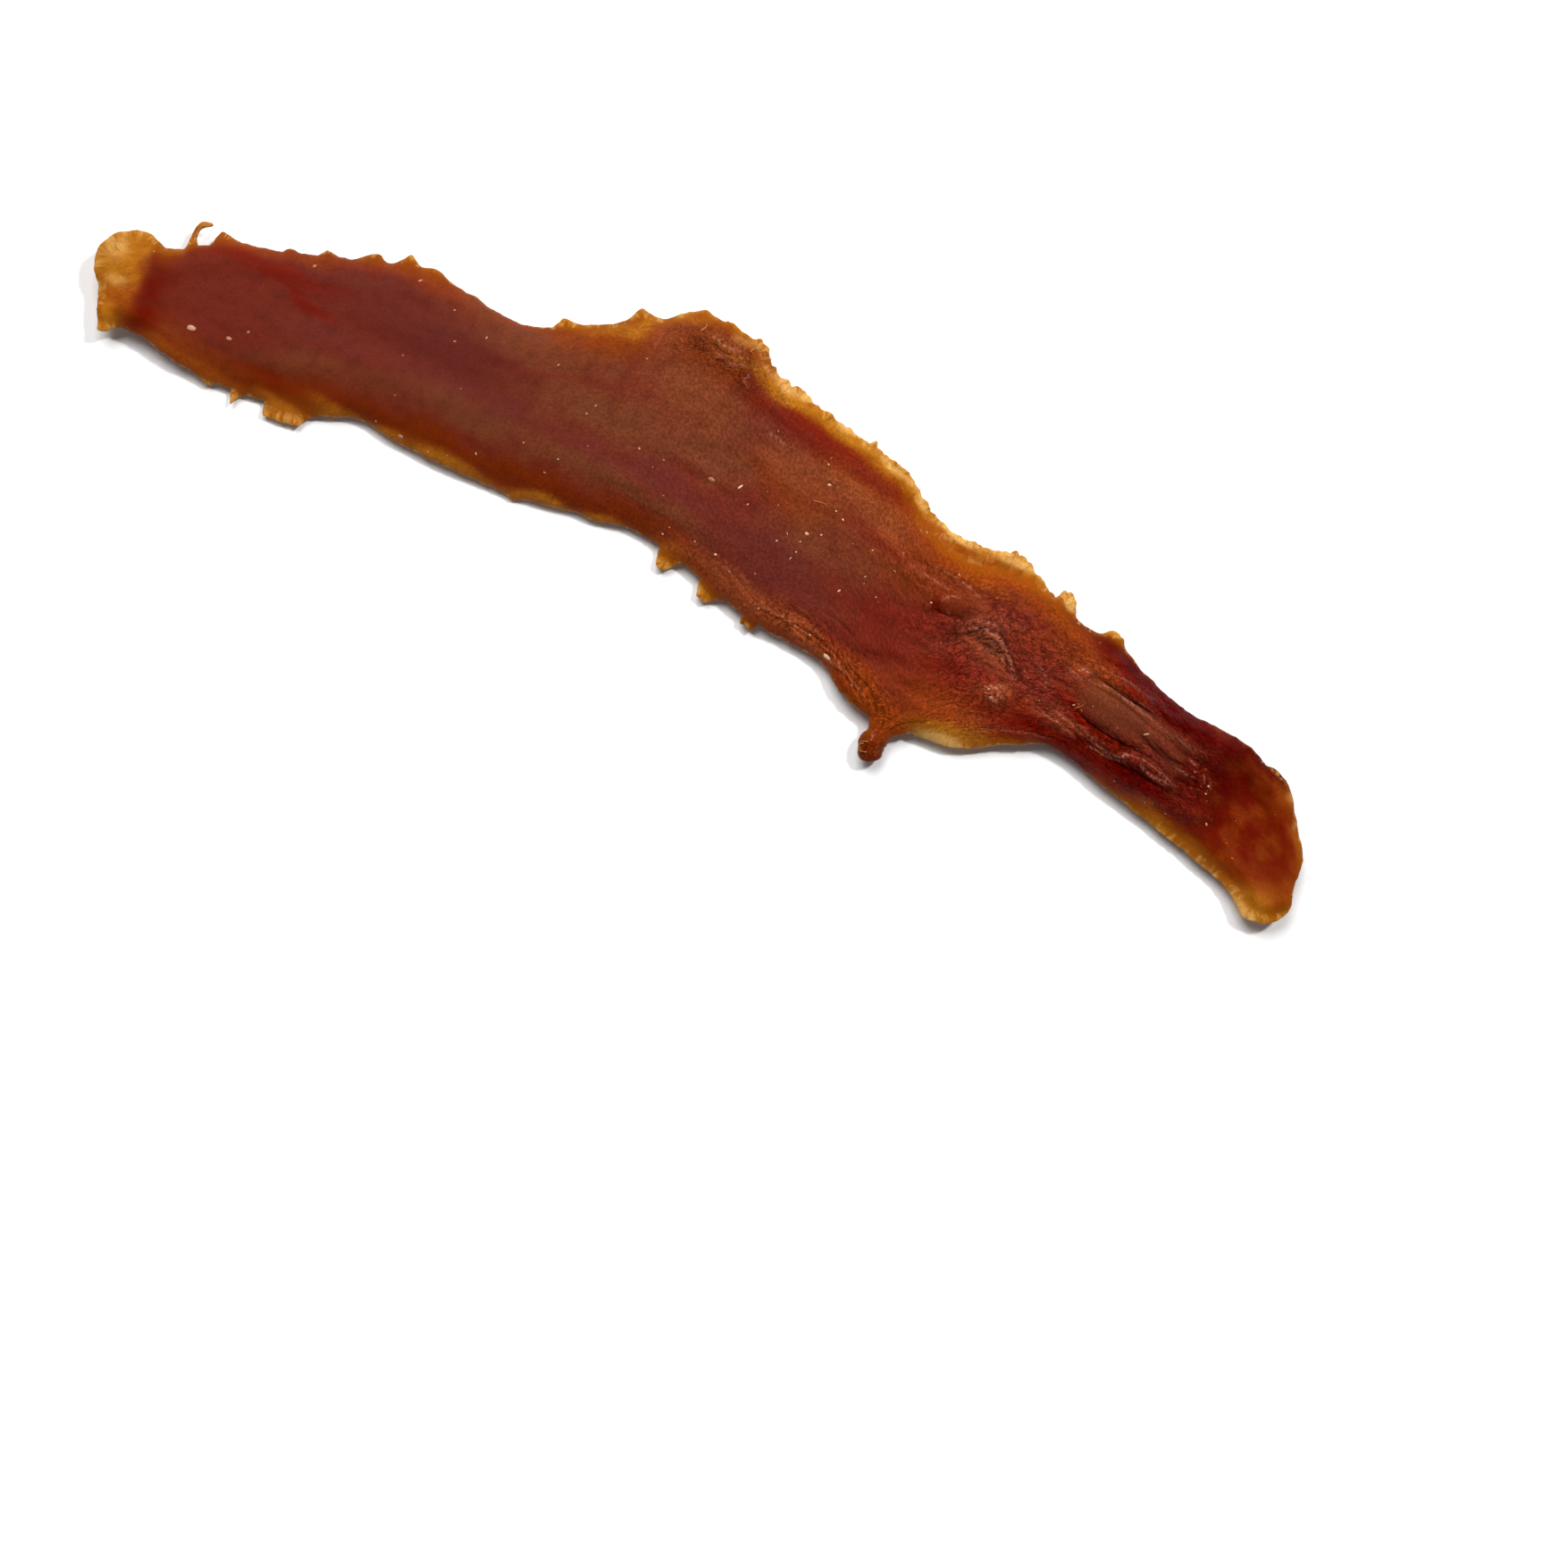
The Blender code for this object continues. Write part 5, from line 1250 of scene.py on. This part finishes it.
def make_specks(settings, strip, material):
    """The fine specks over the top, in clumps, and few at the wide end."""
    skin = Skin(strip.data.copy())
    normals = skin.store()
    x, y = on_drawing(skin.at)
    clumps = waves(np.column_stack([x, y]), (3, 2), 20)
    mask = (eased((x + 30) / 36) * 0.85 + 0.15) * eased((clumps + 0.35) / 0.8) * (normals[:, 2] > 0.5)
    keep_values(skin.mesh, "specks", mask)
    names = ("density", "seed", "smallest", "largest")
    values = {name.capitalize(): getattr(settings.flecks, name) for name in names}
    return run_tree(skin.mesh, speck_tree(), {**values, "Material": material}, "fine_specks")


def make_fibres(settings, strip):
    """Loose fibres that stand off the edge and lie on the skin."""
    tree = surface_of(strip)
    places, edges, radii = [], [], []
    for points, thickness in FIBRES:
        rest = None
        for i, (x, y, rise) in enumerate(points):
            place, _ = top_at(tree, x, y)
            rest = rest if place is None else place.z
            if i:
                edges.append((len(places) - 1, len(places)))
            places.append((*on_strip(x, y), rest + rise * MM * FIBRE_LIFT))
            radii.append(thickness / 2 * MM)
    mesh = points_mesh("loose_fibres_points", places, edges, radius_m=radii)
    return run_tree(mesh, fibre_tree(), {"Sides": 7, "Material": fibre_material(settings)}, "loose_fibres")


def ride(piece):
    """Holds a finished piece inside the plain solid's box and fixes it to the object's body."""
    for vertex in piece.data.vertices:
        vertex.co = [min(max(value, low), high) for value, low, high in zip(vertex.co, CAD_LOW, CAD_HIGH)]
    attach(piece, "root")


# Stage


def make_floor(stage):
    half = stage.floor / 2
    mesh = bpy.data.meshes.new("floor")
    corners = [(-half, -half, 0), (half, -half, 0), (half, half, 0), (-half, half, 0)]
    mesh.from_pydata(corners, [], [(0, 1, 2, 3)])
    made, graph, shader = new_material("pale_floor", {"Roughness": 0.9})
    paper = graph.noise(graph.add("ShaderNodeTexCoord").outputs["Object"], 900.0, detail=2.0)
    tone = graph.mix(graph.span(paper, 0.2, 0.8, 0.0, 0.03), rgba(stage.floor_colour), (0.9, 0.9, 0.9, 1.0))
    graph.put(shader, "Base Color", tone)
    mesh.materials.append(made)
    new_object("floor", mesh)


def make_light(name, place, aim, side, power):
    """A square softbox at a place, turned to a point."""
    light = bpy.data.lights.new(name, "AREA")
    light.size = side
    light.energy = power
    lamp = new_object(name, light)
    lamp.location = place
    lamp.rotation_mode = "QUATERNION"
    lamp.rotation_quaternion = (Vector(aim) - Vector(place)).to_track_quat("-Z", "Y")


def make_world(stage):
    """An even sky that is darker overhead and low down, so that only the sides of the relief mirror it."""
    world = bpy.data.worlds.new("studio")
    world.use_nodes = True
    graph = Graph(world.node_tree)
    way = graph.add("ShaderNodeTexCoord").outputs["Generated"]
    upward = graph.add("ShaderNodeSeparateXYZ", {"Vector": way}).outputs["Z"]
    rising = graph.span(upward, 0.05, 0.45, stage.horizon, stage.sky)
    strength = graph.span(upward, 0.55, 0.88, rising, stage.overhead)
    graph.put(world.node_tree.nodes["Background"], "Strength", strength)
    bpy.context.scene.world = world


# The point of the floor under the middle of the picture, on the drawing.
PICTURE_MIDDLE = (15.25, -13.42)
TOP_LEVEL = 0.0025  # height of the strip's top, where the view's width is measured


def make_camera(stage):
    """A camera that looks straight down, turned so that the strip runs down to the right."""
    camera = bpy.data.cameras.new("camera")
    camera.lens = stage.lens
    camera.sensor_width = 36.0
    camera.clip_start = 0.01
    holder = new_object("camera", camera)
    distance = stage.across * stage.lens / camera.sensor_width
    holder.location = (*on_strip(*PICTURE_MIDDLE), TOP_LEVEL + distance)
    holder.rotation_euler = (0, 0, stage.roll)
    bpy.context.scene.camera = holder


# Operators


class JERKY_OT_strip(bpy.types.Operator):
    """Replace the plain strip with the dried, wrinkled one"""

    bl_idname = "jerky.strip"
    bl_label = "Dried Strip"

    def execute(self, context):
        strip = dress_strip(context.scene.jerky)
        ride(strip)
        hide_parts(NODE)
        return {"FINISHED"}


class JERKY_OT_flecks(bpy.types.Operator):
    """Lay flecks of fat and fine specks on the strip"""

    bl_idname = "jerky.flecks"
    bl_label = "Flecks and Specks"

    def execute(self, context):
        strip = bpy.data.objects["dried_strip"]
        flecks, material = make_flecks(context.scene.jerky, strip)
        specks = make_specks(context.scene.jerky, strip, material)
        ride(flecks)
        ride(specks)
        return {"FINISHED"}


class JERKY_OT_fibres(bpy.types.Operator):
    """Add loose fibres to the edge and the knob"""

    bl_idname = "jerky.fibres"
    bl_label = "Loose Fibres"

    def execute(self, context):
        ride(make_fibres(context.scene.jerky, bpy.data.objects["dried_strip"]))
        return {"FINISHED"}


class JERKY_OT_stage(bpy.types.Operator):
    """Set the floor, the lights and the camera"""

    bl_idname = "jerky.stage"
    bl_label = "Stage"

    def execute(self, context):
        stage = context.scene.jerky.stage
        make_floor(stage)
        make_world(stage)
        make_light("key", place=(-0.30, 0.36, 0.79), aim=(0, 0, 0), side=0.50, power=stage.key)
        make_light("glint", place=(0.19, 0.35, 0.62), aim=(0.02, 0, 0), side=0.07, power=stage.glint)
        make_camera(stage)
        context.scene.view_settings.view_transform = "Standard"
        return {"FINISHED"}


GROUPS = (StripColours, StripSurface, FleckSizes, StageSettings, JerkySettings)
STEPS = (JERKY_OT_strip, JERKY_OT_flecks, JERKY_OT_fibres, JERKY_OT_stage)


class JERKY_PT_panel(bpy.types.Panel):
    """Lists the settings and the steps of the strip"""

    bl_label = "Duck Jerky Strip"
    bl_space_type = "VIEW_3D"
    bl_region_type = "UI"
    bl_category = "Jerky"

    def draw(self, context):
        settings = context.scene.jerky
        for group in (settings.colours, settings.surface, settings.flecks, settings.stage):
            box = self.layout.box()
            for name in group.bl_rna.properties.keys():
                if name not in ("rna_type", "name"):
                    box.prop(group, name)
        for operator in STEPS:
            self.layout.operator(operator.bl_idname)


CLASSES = (*GROUPS, *STEPS, JERKY_PT_panel)


def register():
    for each in CLASSES:
        bpy.utils.register_class(each)
    bpy.types.Scene.jerky = PointerProperty(type=JerkySettings)


def unregister():
    del bpy.types.Scene.jerky
    for each in reversed(CLASSES):
        bpy.utils.unregister_class(each)


def main():
    register()
    bpy.ops.jerky.strip()
    bpy.ops.jerky.flecks()
    bpy.ops.jerky.fibres()
    bpy.ops.jerky.stage()


if __name__ == "__main__":
    main()
